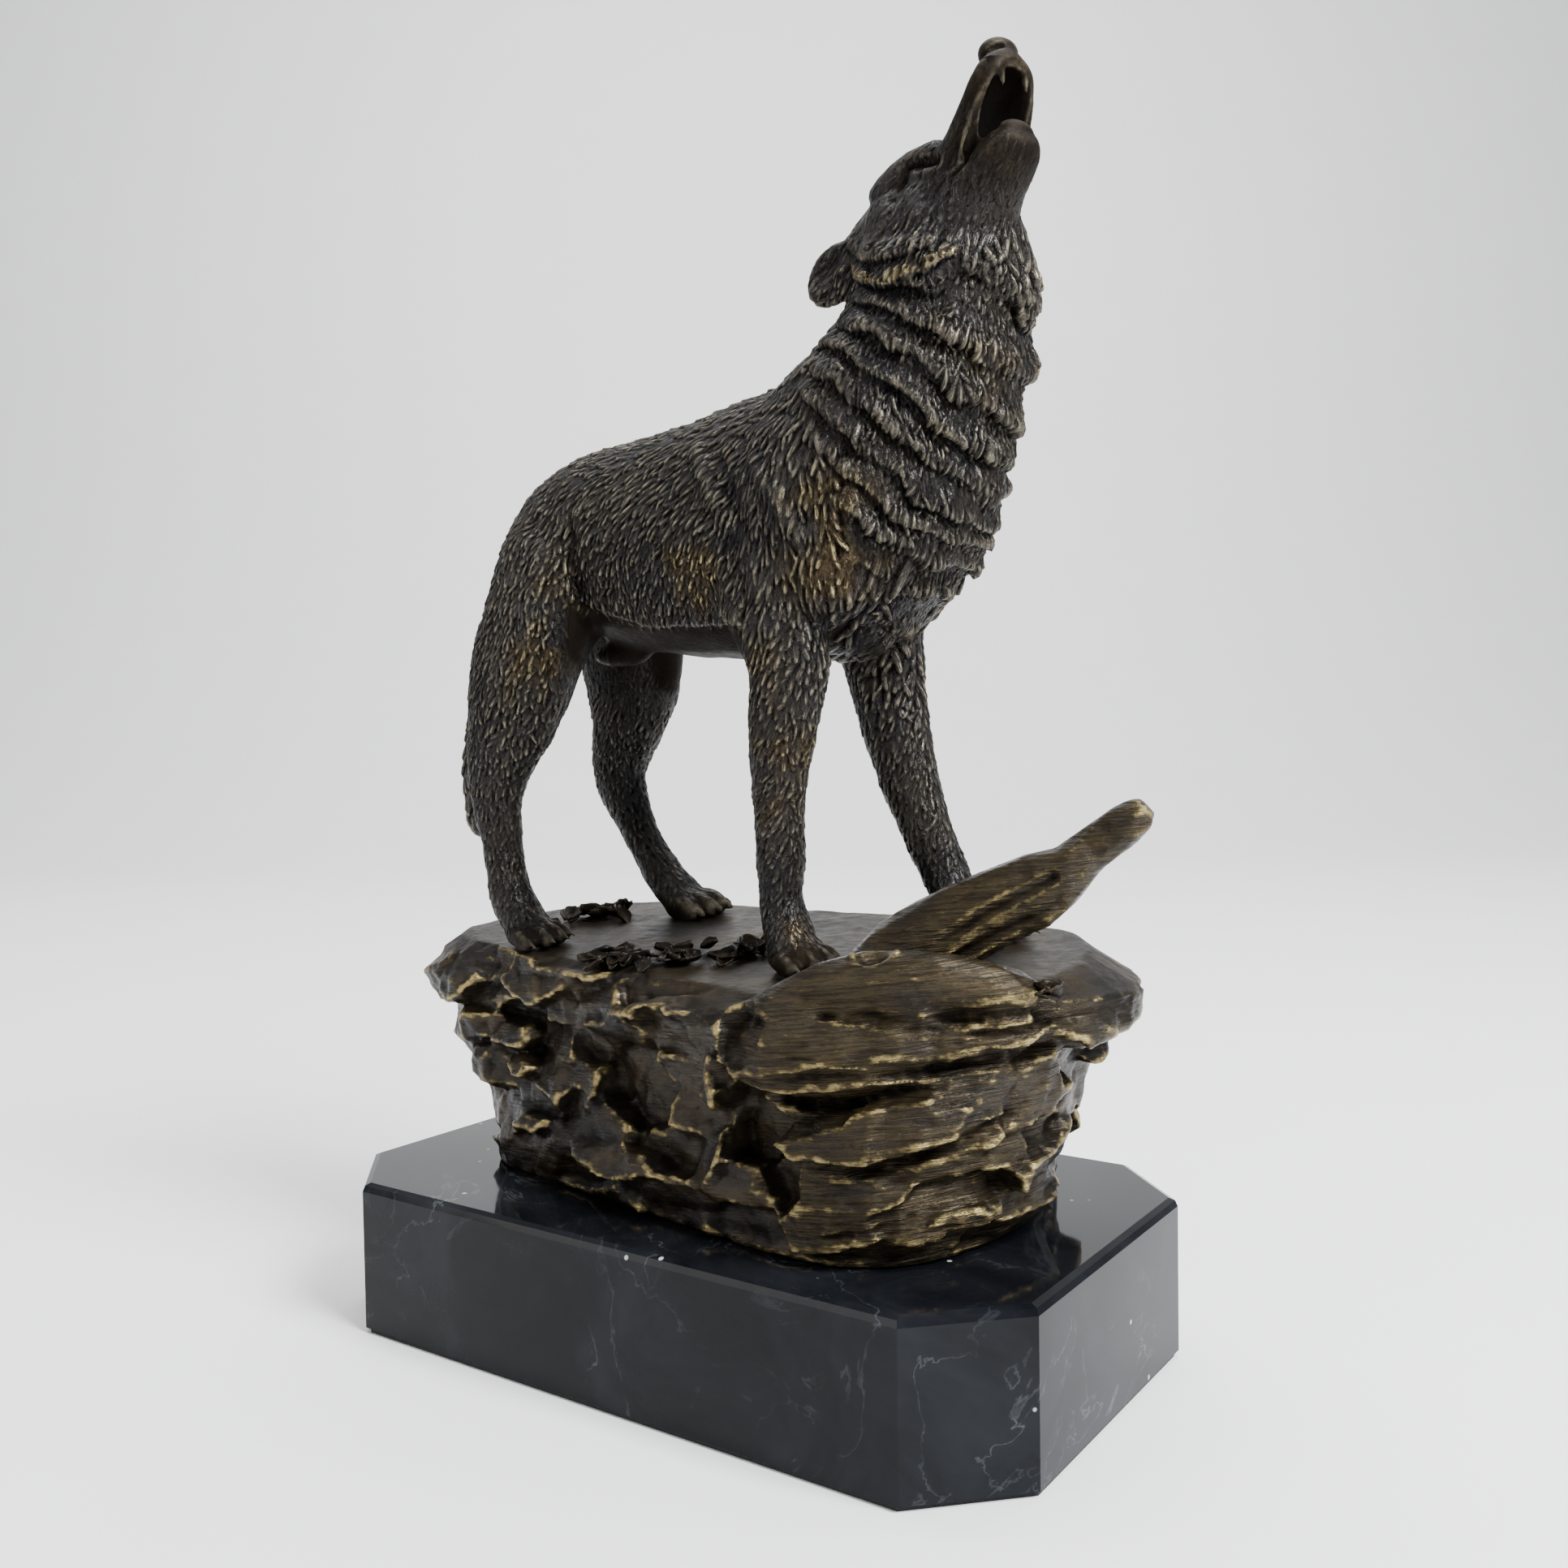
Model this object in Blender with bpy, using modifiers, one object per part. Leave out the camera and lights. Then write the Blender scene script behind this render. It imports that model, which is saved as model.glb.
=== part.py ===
"""Howling wolf in patinated bronze, standing on a bronze rock over a black marble plinth.

Metres, +Z up, +X the way the wolf faces. The origin is the middle of the felt's underside.
"""

import math

import bmesh
import bpy
import numpy as np
from mathutils import Euler, Matrix, Vector, noise

MM = 0.001

# Plinth: a marble block with cut corners and a narrow bevel round its top edge
PLINTH_LENGTH = 180 * MM
PLINTH_WIDTH = 108 * MM
PLINTH_HEIGHT = 33.7 * MM
PLINTH_CORNER_CUT = 18.5 * MM
PLINTH_EDGE_BEVEL = 1.8 * MM

# Felt glued under the plinth
FELT_THICKNESS = 1.0 * MM
FELT_INSET = 0.8 * MM

# Gap between two pieces that touch
SEAT_GAP = 0.3 * MM

# Fixings: two studs screwed into the rock, each with a washer and a nut in a counterbore
STUD_DIAMETER = 6 * MM
STUD_SPACING = 56 * MM
STUD_DEPTH_IN_ROCK = 16 * MM
STUD_PAST_NUT = 1.2 * MM
STUD_HOLE_IN_PLINTH = 8 * MM
WASHER_DIAMETER = 17 * MM
WASHER_THICKNESS = 1.6 * MM
NUT_ACROSS_FLATS = 10 * MM
NUT_HEIGHT = 5 * MM
COUNTERBORE_DIAMETER = 20 * MM
COUNTERBORE_DEPTH = 13 * MM
BAR_SIDES = 24

# Rock: its height is at the middle of its top, which falls towards the near side
ROCK_LENGTH = 178 * MM
ROCK_WIDTH = 86 * MM
ROCK_HEIGHT = 54.7 * MM
ROCK_TOP_FALL = 0.11
ROCK_VOXEL = 1.3 * MM
ROCK_TRIANGLES = 5700

# Wolf: its height is from the rock's top to the tip of its nose
WOLF_HEIGHT = 182 * MM
WOLF_VOXEL = 1.1 * MM
WOLF_TRIANGLES = 7200

# Levels, from the felt's underside up
PLINTH_BOTTOM = FELT_THICKNESS + SEAT_GAP
PLINTH_TOP = PLINTH_BOTTOM + PLINTH_HEIGHT
ROCK_BOTTOM = PLINTH_TOP + SEAT_GAP
ROCK_TOP = ROCK_BOTTOM + ROCK_HEIGHT

# The wolf is drawn in mm from the rock's top, X forward and Y to its left, for this height
WOLF_DRAWN_HEIGHT = 182

# Stations of a limb or the trunk: x, y, z, half depth and half width
TRUNK = [
    (-67.6, 0, 90, 5, 5),
    (-62, 0, 91, 12, 11),
    (-53, 0, 93, 18, 16.5),
    (-40, 0, 94.5, 22.5, 19.5),
    (-24, 0, 93, 25.2, 20.5),
    (-8, 0, 92.5, 27.2, 22),
    (8, 0, 93.5, 29.2, 23.5),
    (24, 0, 95, 29.5, 24),
    (38, 0, 96, 25, 21),
    (48, 0, 96, 14, 14),
]
# Level slices of the chest and neck: x, y, z, half length and half width
CHEST_AND_NECK = [
    (29, 0, 64.5, 3, 3),
    (27, 0, 66.5, 11, 9),
    (26, 0, 71, 17, 16),
    (27, 0, 78, 25, 22.5),
    (28.5, 0, 87, 32, 24.3),
    (31.5, 0, 101, 34, 24),
    (38.5, 0, 115, 31, 22),
    (44.2, 0, 123, 26.8, 20.5),
    (49.2, 0, 130, 22.3, 18.7),
    (53.2, -0.5, 137, 19.4, 17.2),
    (54.6, -1, 144, 18.2, 16.2),
    (55, -1.5, 150, 16.6, 14.6),
    (56.5, -2, 155, 13, 12),
]
FRONT_LEG_RIGHT = [
    (20, -15, 88, 15, 9),
    (22, -17, 74, 11.5, 9),
    (25.5, -18, 62, 8.8, 7.6),
    (24.6, -18, 53, 7.9, 6.8),
    (23.2, -18, 42, 6.6, 5.9),
    (22.8, -18, 32, 5.4, 4.9),
    (23.2, -18, 21, 5.4, 5.0),
    (22.8, -18, 14, 4.7, 4.6),
    (24.0, -18, 7.5, 5.0, 5.4),
    (28.2, -19.5, 0.5, 4.5, 6.2),
]
FRONT_LEG_LEFT = [
    (24, 14, 88, 15, 9),
    (27, 15, 74, 11.5, 9),
    (29.5, 15, 62, 8.8, 8.0),
    (32.0, 15, 50, 7.9, 7.0),
    (35.5, 15, 37, 6.7, 6.2),
    (39.8, 15, 26, 5.7, 5.3),
    (43.5, 16, 17, 5.4, 5.1),
    (47.0, 16, 10, 5.0, 5.4),
    (53.5, 16, 3, 4.6, 6.2),
]
HIND_LEG_RIGHT = [
    (-45.5, -12, 92, 15.4, 10),
    (-48.3, -15.5, 76, 15.6, 10.3),
    (-52, -18.5, 62, 15.0, 9.2),
    (-54.8, -19.5, 52, 12.3, 8.2),
    (-58.5, -20, 42, 9.2, 6.6),
    (-60.2, -20, 32.5, 6.8, 5.2),
    (-58.5, -20, 24, 5.2, 4.6),
    (-57.2, -20, 15, 4.9, 4.6),
    (-55, -20, 8, 5.2, 5.6),
    (-49.0, -20, 1, 4.2, 6.2),
]
HIND_LEG_LEFT = [
    (-46.5, 12, 92, 16, 10),
    (-47.5, 16, 76, 16.2, 10.3),
    (-48.5, 18, 62, 14.5, 9.3),
    (-50, 18, 52, 10.8, 7.8),
    (-53.2, 18, 42, 8.0, 6.3),
    (-53.2, 18, 35, 7.0, 5.4),
    (-48.8, 18, 26, 5.0, 4.7),
    (-43.5, 18, 17.5, 4.6, 4.5),
    (-39.0, 18, 11.5, 5.0, 5.4),
    (-33.0, 18, 5.5, 4.2, 6.2),
]
TAIL = [
    (-57, 0, 104, 8, 8),
    (-65.8, 0, 95, 7.5, 6.5),
    (-72.6, 0, 81, 6.5, 5.5),
    (-76.8, -1, 64, 6.0, 5.5),
    (-80.5, -2, 48, 6.2, 5.5),
    (-82.8, -2, 36, 5.6, 5.0),
    (-84.5, -2, 27, 3.8, 3.4),
    (-85.5, -2, 22, 1.2, 1.2),
]
# Muscle under the coat, on both sides: centre, half axes and turn about Y
MUSCLES = [
    ((26, -16, 98), (14, 9.5, 20), 28),
    ((33, -15, 82), (13, 9, 12), 0),
    ((-47, -13, 83), (15, 9.5, 20), -8),
]

SHEATH = ((-36, 0, 67.5), (9.5, 3.4, 3.2))

# Rows of the mane: the level of each falls towards the chest, steeper half way down the neck
ROW_SLOPES = [(66, 0.1), (78, 0.3), (90, 1.05), (110, 1.0), (124, 0.75), (138, 0.35), (150, 0.1)]
ROW_MIDDLE = 50
ROW_WAVE = 2.6
ROW_WAVE_REACH = 11
ROW_STEP = 8.4
ROW_RISE = 1.5
# The cheek's ruff hangs below the rows: its lowest place, how far it hangs and how wide it spreads
RUFF = ((54, 17, 137), 6.5, 6)
# The mane's back edge and its lower and upper ends
MANE_BACK_EDGE = [(64, 34), (80, 40), (98, 42), (116, 33), (128, 36), (140, 44)]
MANE_BACK_FADE = 2.5
MANE_ENDS = ((62, 67), (142, 147))
MANE_TOP_FALL = 0.25
# The mane's rows stop where the legs start: from this far out and this far down
MANE_OFF_LEGS = ((9, 12), (84, 76))
# Folds in the coat, on both sides: points along the fold, its half width and its depth
FOLDS = [
    ([(-34, 23, 101), (-33.5, 19.5, 90), (-32.5, 17, 77)], 4.5, 1.6),
    ([(12, 27, 99), (16, 24.5, 86), (19.5, 25, 75)], 4.5, 1.5),
]

# Paws: middle of the toes, heading and pitch in degrees
PAWS = [
    ((30.5, -20.5), -14, 6),
    ((57, 16.5), 0, 4),
    ((-45.5, -21), -6, 6),
    ((-28.5, 18), 4, 8),
]
PAW_PAD = ((-3, 0, 3.4), (5.5, 6.2, 3.6))
# Toes: how many steps of the spread each lies from the paw's middle, and how they fan out in degrees
TOES = (-1.5, -0.5, 0.5, 1.5)
TOE_SPREAD = 3.6
TOE_FAN = 10.8
TOE_REACH = 3
TOE_STEP_BACK = 1.4
TOE_SIZE = (4.6, 1.9, 2.6)
TOE_DIP = 14
CLAW_SIZE = (1.9, 0.8, 0.9)
CLAW_REACH = 4.1
CLAW_LEVEL = 1.5
CLAW_DIP = 24

# Head, drawn looking along X from the neck's axis and then turned about it
HEAD_AXIS = (44, 0)
HEAD_TURN = -18
SKULL = [
    (-8, 0, 144.5, 5.5, 9),
    (-3, 0, 147, 8.4, 12),
    (2.5, 0, 150.2, 8.5, 13.2),
    (8, 0, 152.8, 8.1, 13),
    (12.5, 0, 155.4, 7.3, 11.4),
    (16.5, 0, 158, 6.3, 9.8),
]
UPPER_JAW = [
    (16, 0, 156.5, 7.4, 9.8),
    (22, 0, 160.4, 5.7, 9.4),
    (26.5, 0, 166.1, 4.4, 9.2),
    (29.4, 0, 171.8, 3.9, 8.6),
    (31.2, 0, 175.8, 3.4, 7.2),
    (32.2, 0, 178, 2.0, 4.4),
]
LOWER_JAW = [
    (13, 0, 146, 9, 11),
    (20, 0, 150.3, 8.8, 9.6),
    (26.2, 0, 155.0, 6.4, 8.2),
    (30.8, 0, 158.4, 5.0, 7.4),
    (33.8, 0, 160.9, 4.0, 6.4),
    (35.6, 0, 162.4, 2.2, 4.4),
]
NOSE = ((29.8, 0, 178.8), (3.0, 3.7, 2.5))
BROWS = ((11, 7.2, 160.6), (4.0, 3.0, 2.9))
CHEEKS = ((8, 9, 149), (9, 5.5, 9))
JOWLS = ((18.5, 6.8, 155), (4.5, 2.8, 5.2))
MOUTH_HOLLOW = ((31.2, 0, 167), (4.7, 6.3, 11), 26)
EAR = ((-7.5, 12.5, 144), (8, 2.4, 6))
EAR_TURN = (0, -42, -15)

# The rock is drawn in mm from its underside for these overall sizes
ROCK_DRAWN_LENGTH = 178
ROCK_DRAWN_WIDTH = 86
ROCK_DRAWN_HEIGHT = 54.7
# Outlines at rising levels: x, y round the rock from the near left corner. The sloping top cuts the last
ROCK_LEVELS = [
    (0, [(-60, -23), (-26, -32), (27, -40.5), (48, -41.5), (64, -29), (70, -4),
         (66, 22), (50, 40), (-12, 36), (-48, 32), (-63, 8)]),
    (12, [(-64, -22), (-28, -34), (26, -43), (52, -44), (69, -32), (78, -8),
          (70, 20), (52, 42), (-12, 38), (-50, 35), (-69, 8)]),
    (22, [(-70, -22), (-27, -32), (24, -41), (52, -44), (72, -30), (80, -6),
          (71, 22), (53, 43), (-14, 40), (-52, 37), (-75, 8)]),
    (31, [(-75, -22), (-28, -32), (22, -42), (50, -45), (73, -30), (82, -4),
          (73, 25), (54, 43), (-14, 40), (-54, 38), (-80, 8)]),
    (38, [(-80, -22), (-32, -32), (22, -42), (50, -44), (77, -26), (85, -2),
          (76, 27), (56, 43), (-16, 40), (-55, 39), (-85, 6)]),
    (44, [(-85, -21), (-35, -32), (23, -43), (50, -43), (82, -22), (93, 3),
          (84, 28), (58, 43), (-18, 39), (-56, 38), (-87, 6)]),
    (49, [(-83, -19), (-35, -30), (23, -38), (50, -40), (81, -21), (92, 4),
          (85, 29), (60, 41), (-18, 37), (-56, 36), (-86, 6)]),
    (61, [(-66, -9), (-32, -17), (22, -21), (46, -21), (64, -12), (72, 4),
          (68, 20), (52, 30), (-18, 29), (-48, 28), (-70, 6)]),
]
# Driftwood along the near edge, and the branch that rises from it: x, y, z, half depth and width
LOG = [
    (28, -38, 45, 3.0, 4.0),
    (38, -38, 49, 5.0, 6.0),
    (50, -35, 53, 6.5, 7.5),
    (62, -31, 54, 6.8, 8.0),
    (74, -25, 52.5, 6.5, 7.5),
    (81, -21, 51, 5.0, 6.5),
    (84, -19.5, 50, 2.5, 4.5),
]
BRANCH = [
    (46, -22, 51, 7, 8),
    (54, -17, 58, 8.5, 8),
    (64, -12, 64, 8.2, 7.2),
    (74, -8, 69.6, 7.4, 6.6),
    (81, -5.8, 73.2, 6.2, 5.6),
    (86.5, -4, 76.2, 3.6, 4.0),
]
TWIG = [
    (76, -4.5, 70.5, 4.6, 4.4),
    (87, -2.5, 79, 4.4, 4.2),
    (94, -1, 84.4, 4.0, 3.8),
    (97.5, 0, 87.0, 2.6, 3.0),
]
BRANCH_KNOTS = [
    ((77, -8, 66.5), (6.5, 4.5, 4.0), -25),
    ((84, -5.5, 77.5), (4.2, 3.6, 2.8), -30),
]
# Leaf litter on the top: x, y, height over the drawn top, and size
LITTER = [((-54, 7, 0), 2.6), ((-52, 13, 0.8), 2.2), ((-53, -9, -1.7), 1.8), ((-7, -27, -3.5), 2.6),
          ((-1, -22, -2.9), 2.4), ((5, -5, -0.9), 2.2), ((10, -12, -1.7), 2.0)]
# Hewn faces of the near side: middle, reach along and up, way out, lean up and turn in degrees
ROCK_FACES = [
    ((-80, -18, 40), 8, 6, 0.5, -10, 0),
    ((-67, -27, 43), 9, 5, 1.0, 20, 0),
    ((-60, -27, 34), 9, 4, 0, 0, 15),
    ((-37, -29, 46), 16, 4, 0.5, 5, 0),
    ((-28, -30, 51), 20, 3, 1.0, 30, 0),
    ((-46, -27, 38), 9, 3.5, -5, -20, 0),
    ((-47, -29, 32), 9, 3, 0.5, 25, 0),
    ((-44, -29, 26), 5, 3, 2.5, 35, 0),
    ((-28, -30, 40), 8, 4, -2, 0, 0),
    ((-21, -31, 35), 8, 5, -3.5, -15, 0),
    ((-1, -35, 26), 13, 8, -6, 0, 0),
    ((-12, -34, 38), 14, 3, -1, -30, 0),
    ((-39, -30, 19), 9, 4, -1.5, -10, 0),
    ((-39, -33, 13), 8, 3, 2.5, 15, 0),
    ((-42, -30, 4), 14, 4, -0.5, 0, 0),
    ((-24, -34, 20), 6, 6, -1.5, 0, -20),
    ((-9, -37, 12), 17, 3.5, 1.5, 30, 0),
    ((7, -40, 6), 18, 4, -0.5, -10, 0),
    ((-20, -36, 5), 12, 4, -1.5, -10, 0),
    ((8, -39, 46), 16, 2.5, 3, 35, 0),
    ((34, -44, 43), 8, 5, 1.5, 15, -20),
    ((22, -41, 31), 4.5, 8, 2, 0, -25),
    ((20, -42, 17), 6, 6, 0.5, 10, -20),
    ((33, -40, 26), 8, 8, -6.5, 0, 0),
    ((55, -43, 44), 26, 7, 3.5, 4, 0),
    ((75, -31, 45), 14, 5, 2.5, 0, 0),
    ((50, -45, 36), 14, 3.5, 2.0, 10, 0),
    ((40, -42, 16), 6, 7, -5, 0, 0),
    ((62, -43, 27), 22, 5, 3.0, 12, 0),
    ((76, -28, 28), 9, 4.5, 1.0, 10, 0),
    ((48, -44, 9), 10, 6, 1.0, 12, 0),
    ((60, -41, 15), 9, 3, 0, 20, 0),
    ((70, -33, 18), 10, 2.6, -1.5, -25, 0),
    ((76, -20, 21), 9, 3, -1, 15, 0),
    ((68, -28, 10), 10, 2.8, 1.2, 10, 0),
    ((78, -10, 11), 10, 3.5, -1, 10, 0),
    ((70, -30, 4), 10, 3, -0.5, 0, 0),
    ((84, -14, 35), 9, 4, -1, 10, 0),
    ((81, -8, 23), 9, 4, -3, -5, 0),
    ((88, -10, 46), 9, 5, 0, 25, 0),
    ((84, -19, 41), 9, 3.5, -3, -30, 0),
    ((90, 6, 46), 9, 5, -0.5, 0, 0),
]
# Other faces fill the rest of the sides, one to each patch of this reach along and up
FILL_REACH = (13, 5)
FILL_OUT = (-3.5, 0.5)
FILL_LEAN = (-20, 25)
FILL_TURN = (-12, 12)
FILL_SEED = 11
# How near the next seeded face may lie to a drawn one and to a seeded one, in squared reaches
CLEAR_OF_DRAWN = 1.8
CLEAR_OF_FILL = 2.2
FACE_THROUGH = 30
FACE_TILT_LIMIT = 3
FACE_BLEND = 0.08
# Cracks between the slabs on the near side: both ends, and the depth
ROCK_CRACKS = [
    ((42, -46, 31.5), (84, -34, 38.5), 5),
    ((58, -44, 20), (92, -12, 33), 3),
    ((-62, -30, 29), (-38, -34, 28.5), 3),
    ((62, -38, 39), (84, -26, 40.5), 2.5),
]
CRACK_WIDTH = 2.2
CRACK_FLOOR = 0.3
CRACK_FLATNESS = 0.35
# The faces' own beds dip along them
BED_DIP = 0.1
# Noise on the sides: the size of its lumps, its height, and how far it bends the faces' edges
ROCK_LUMPS = 9
ROCK_ROUGHNESS = 0.9
FACE_WARP_LUMPS = 10
FACE_WARP = 1.5
FACE_WARP_SEED = 7
PAW_FLAT_REACH = 11.5
PAW_FLAT_DEPTH = 4


def material(name, colour, roughness, metallic):
    made = bpy.data.materials.new(name)
    made.use_nodes = True
    shader = made.node_tree.nodes["Principled BSDF"]
    shader.inputs["Base Color"].default_value = (*colour, 1)
    shader.inputs["Roughness"].default_value = roughness
    shader.inputs["Metallic"].default_value = metallic
    return made


def clear_scene():
    for obj in list(bpy.data.objects):
        bpy.data.objects.remove(obj)


def collection(name):
    made = bpy.data.collections.new(name)
    bpy.context.scene.collection.children.link(made)
    return made


def add_object(name, mesh, folder, finish=None):
    obj = bpy.data.objects.new(name, mesh)
    folder.objects.link(obj)
    if finish:
        mesh.materials.clear()
        mesh.materials.append(finish)
    return obj


def mesh_of(bm, name):
    mesh = bpy.data.meshes.new(name)
    bmesh.ops.recalc_face_normals(bm, faces=bm.faces)
    bm.to_mesh(mesh)
    bm.free()
    return mesh


def evaluated(obj):
    """The object's mesh with its modifiers applied, as a new mesh."""
    graph = bpy.context.evaluated_depsgraph_get()
    graph.update()
    return bpy.data.meshes.new_from_object(obj.evaluated_get(graph))


def vectors_of(mesh, name):
    flat = np.empty(len(mesh.vertices) * 3, np.float32)
    mesh.vertices.foreach_get(name, flat)
    return flat.reshape(-1, 3).astype(float)


def set_points(mesh, points):
    mesh.vertices.foreach_set("co", points.astype(np.float32).ravel())
    mesh.update()


def eased(low, high, value):
    """0 at low, 1 at high, and a smooth step between them."""
    t = np.clip((value - low) / (high - low), 0, 1)
    return t * t * (3 - 2 * t)


def between(a, b, c, d, t):
    """Catmull-Rom value a share t of the way from b to c."""
    return b + 0.5 * t * ((c - a) + (2 * a - 5 * b + 4 * c - d) * t + (3 * b - a - 3 * c + d) * t * t)


def spline(stations, steps):
    """Values through the stations: steps for each span, and the last station."""
    knots = np.array(stations, float)
    padded = np.vstack([2 * knots[0] - knots[1], knots, 2 * knots[-1] - knots[-2]])
    spans = [padded[i : i + 4] for i in range(len(knots) - 1)]
    return np.array([between(*span, k / steps) for span in spans for k in range(steps)] + [knots[-1]])


def closed_spline(points, steps):
    """Points round a closed outline."""
    knots = np.array(points, float)
    spans = [[knots[(i + k) % len(knots)] for k in (-1, 0, 1, 2)] for i in range(len(knots))]
    return np.array([between(*span, k / steps) for span in spans for k in range(steps)])


def skin_rings(bm, rings):
    """Side faces between rings of points, and a cap at each end."""
    made = [[bm.verts.new(point) for point in ring] for ring in rings]
    for low, high in zip(made, made[1:]):
        for k in range(len(low)):
            after = (k + 1) % len(low)
            bm.faces.new((low[k], low[after], high[after], high[k]))
    bm.faces.new(made[0][::-1])
    bm.faces.new(made[-1])


def circle_shares(sides):
    turns = 2 * math.pi * np.arange(sides) / sides
    return np.cos(turns)[:, None], np.sin(turns)[:, None]


def tube(bm, stations, sides=20, steps=4):
    """Loft of ellipses square to a path, each with its width along Y."""
    values = spline(stations, steps)
    ways = np.gradient(values[:, :3], axis=0)
    rings = []
    for (*centre, depth, width), way in zip(values, ways):
        way = way / np.linalg.norm(way)
        side = np.array([0, 1, 0]) - way * way[1]
        side /= np.linalg.norm(side)
        c, s = circle_shares(sides)
        rings.append(np.array(centre) + np.cross(side, way) * depth * c + side * width * s)
    skin_rings(bm, rings)


def slices(bm, stations, sides=28, steps=4):
    """Loft of level ellipses."""
    c, s = circle_shares(sides)
    rings = []
    for *centre, length, width in spline(stations, steps):
        rings.append(np.array(centre) + np.hstack([length * c, width * s, 0 * c]))
    skin_rings(bm, rings)


def ball(bm, centre, radii, turn=(0, 0, 0)):
    """An ellipsoid with its half axes along X, Y and Z, then turned by degrees about them."""
    place = Matrix.Translation(centre) @ Euler([math.radians(a) for a in turn]).to_matrix().to_4x4()
    sized = place @ Matrix.Diagonal((*radii, 1))
    bmesh.ops.create_uvsphere(bm, u_segments=20, v_segments=12, radius=1, matrix=sized)


def both_sides(centre, turn):
    """A place and its turn, and the same on the other side of the midplane."""
    x, y, z = centre
    yield (x, y, z), turn
    yield (x, -y, z), (-turn[0], turn[1], -turn[2])


def join(bm, other):
    mesh = mesh_of(other, "joined")
    bm.from_mesh(mesh)
    bpy.data.meshes.remove(mesh)


def fused(bm, voxel, smoothing):
    """One closed skin round all the shapes in bm, softened where they meet."""
    work = add_object("fused", mesh_of(bm, "fused"), bpy.context.scene.collection)
    remesh = work.modifiers.new("Skin", "REMESH")
    remesh.mode = "VOXEL"
    remesh.voxel_size = voxel
    smooth = work.modifiers.new("Soften", "SMOOTH")
    smooth.factor = 0.5
    smooth.iterations = smoothing
    mesh = evaluated(work)
    bpy.data.objects.remove(work)
    return mesh


def decimated(mesh, triangles):
    work = add_object("decimated", mesh, bpy.context.scene.collection)
    work.modifiers.new("Triangles", "TRIANGULATE")
    fewer = work.modifiers.new("Fewer", "DECIMATE")
    fewer.ratio = triangles / sum(len(face.vertices) - 2 for face in mesh.polygons)
    made = evaluated(work)
    bpy.data.objects.remove(work)
    return made


def hidden(obj):
    obj.hide_render = True
    obj.display_type = "WIRE"
    return obj


def cut(obj, cutter):
    modifier = obj.modifiers.new("Cut " + cutter.name, "BOOLEAN")
    modifier.operation = "DIFFERENCE"
    modifier.object = cutter


def prism(name, diameter, low, high, place, folder, sides=BAR_SIDES):
    """An upright bar between two levels, at place (x, y)."""
    bm = bmesh.new()
    bmesh.ops.create_cone(
        bm,
        cap_ends=True,
        segments=sides,
        radius1=diameter / 2,
        radius2=diameter / 2,
        depth=high - low,
        matrix=Matrix.Translation((*place, (low + high) / 2)),
    )
    return add_object(name, mesh_of(bm, name), folder)


def cut_corner_slab(name, length, width, corner, low, high, folder):
    """A block with its four upright corners cut off."""
    x, y = length / 2, width / 2
    outline = [(x - corner, -y), (x, -y + corner), (x, y - corner), (x - corner, y)]
    outline += [(-px, -py) for px, py in outline]
    bm = bmesh.new()
    skin_rings(bm, [[(px, py, level) for px, py in outline] for level in (low, high)])
    return add_object(name, mesh_of(bm, name), folder)


def stud_places():
    return [(side * STUD_SPACING / 2, 0) for side in (-1, 1)]


def build_plinth(folder, cutters, marble):
    plinth = cut_corner_slab(
        "marble_plinth", PLINTH_LENGTH, PLINTH_WIDTH, PLINTH_CORNER_CUT, PLINTH_BOTTOM, PLINTH_TOP, folder
    )
    plinth.data.materials.append(marble)
    mesh = plinth.data
    weights = mesh.attributes.new("bevel_weight_edge", "FLOAT", "EDGE")
    for edge in mesh.edges:
        at_top = all(mesh.vertices[v].co.z > (PLINTH_TOP + PLINTH_BOTTOM) / 2 for v in edge.vertices)
        weights.data[edge.index].value = 1.0 if at_top else 0.0
    bevel = plinth.modifiers.new("Top edge", "BEVEL")
    bevel.limit_method = "WEIGHT"
    bevel.width = PLINTH_EDGE_BEVEL
    bevel.segments = 2
    over = 1 * MM
    for number, place in enumerate(stud_places(), 1):
        hole = prism(
            f"hole_{number}", STUD_HOLE_IN_PLINTH, PLINTH_BOTTOM - over, PLINTH_TOP + over, place, cutters
        )
        bore_top = PLINTH_BOTTOM + COUNTERBORE_DEPTH
        bore = prism(
            f"counterbore_{number}", COUNTERBORE_DIAMETER, PLINTH_BOTTOM - over, bore_top, place, cutters
        )
        cut(plinth, hidden(hole))
        cut(plinth, hidden(bore))


def build_felt(folder, felt):
    pad = cut_corner_slab(
        "felt_pad",
        PLINTH_LENGTH - 2 * FELT_INSET,
        PLINTH_WIDTH - 2 * FELT_INSET,
        PLINTH_CORNER_CUT,
        0,
        FELT_THICKNESS,
        folder,
    )
    pad.data.materials.append(felt)


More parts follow.
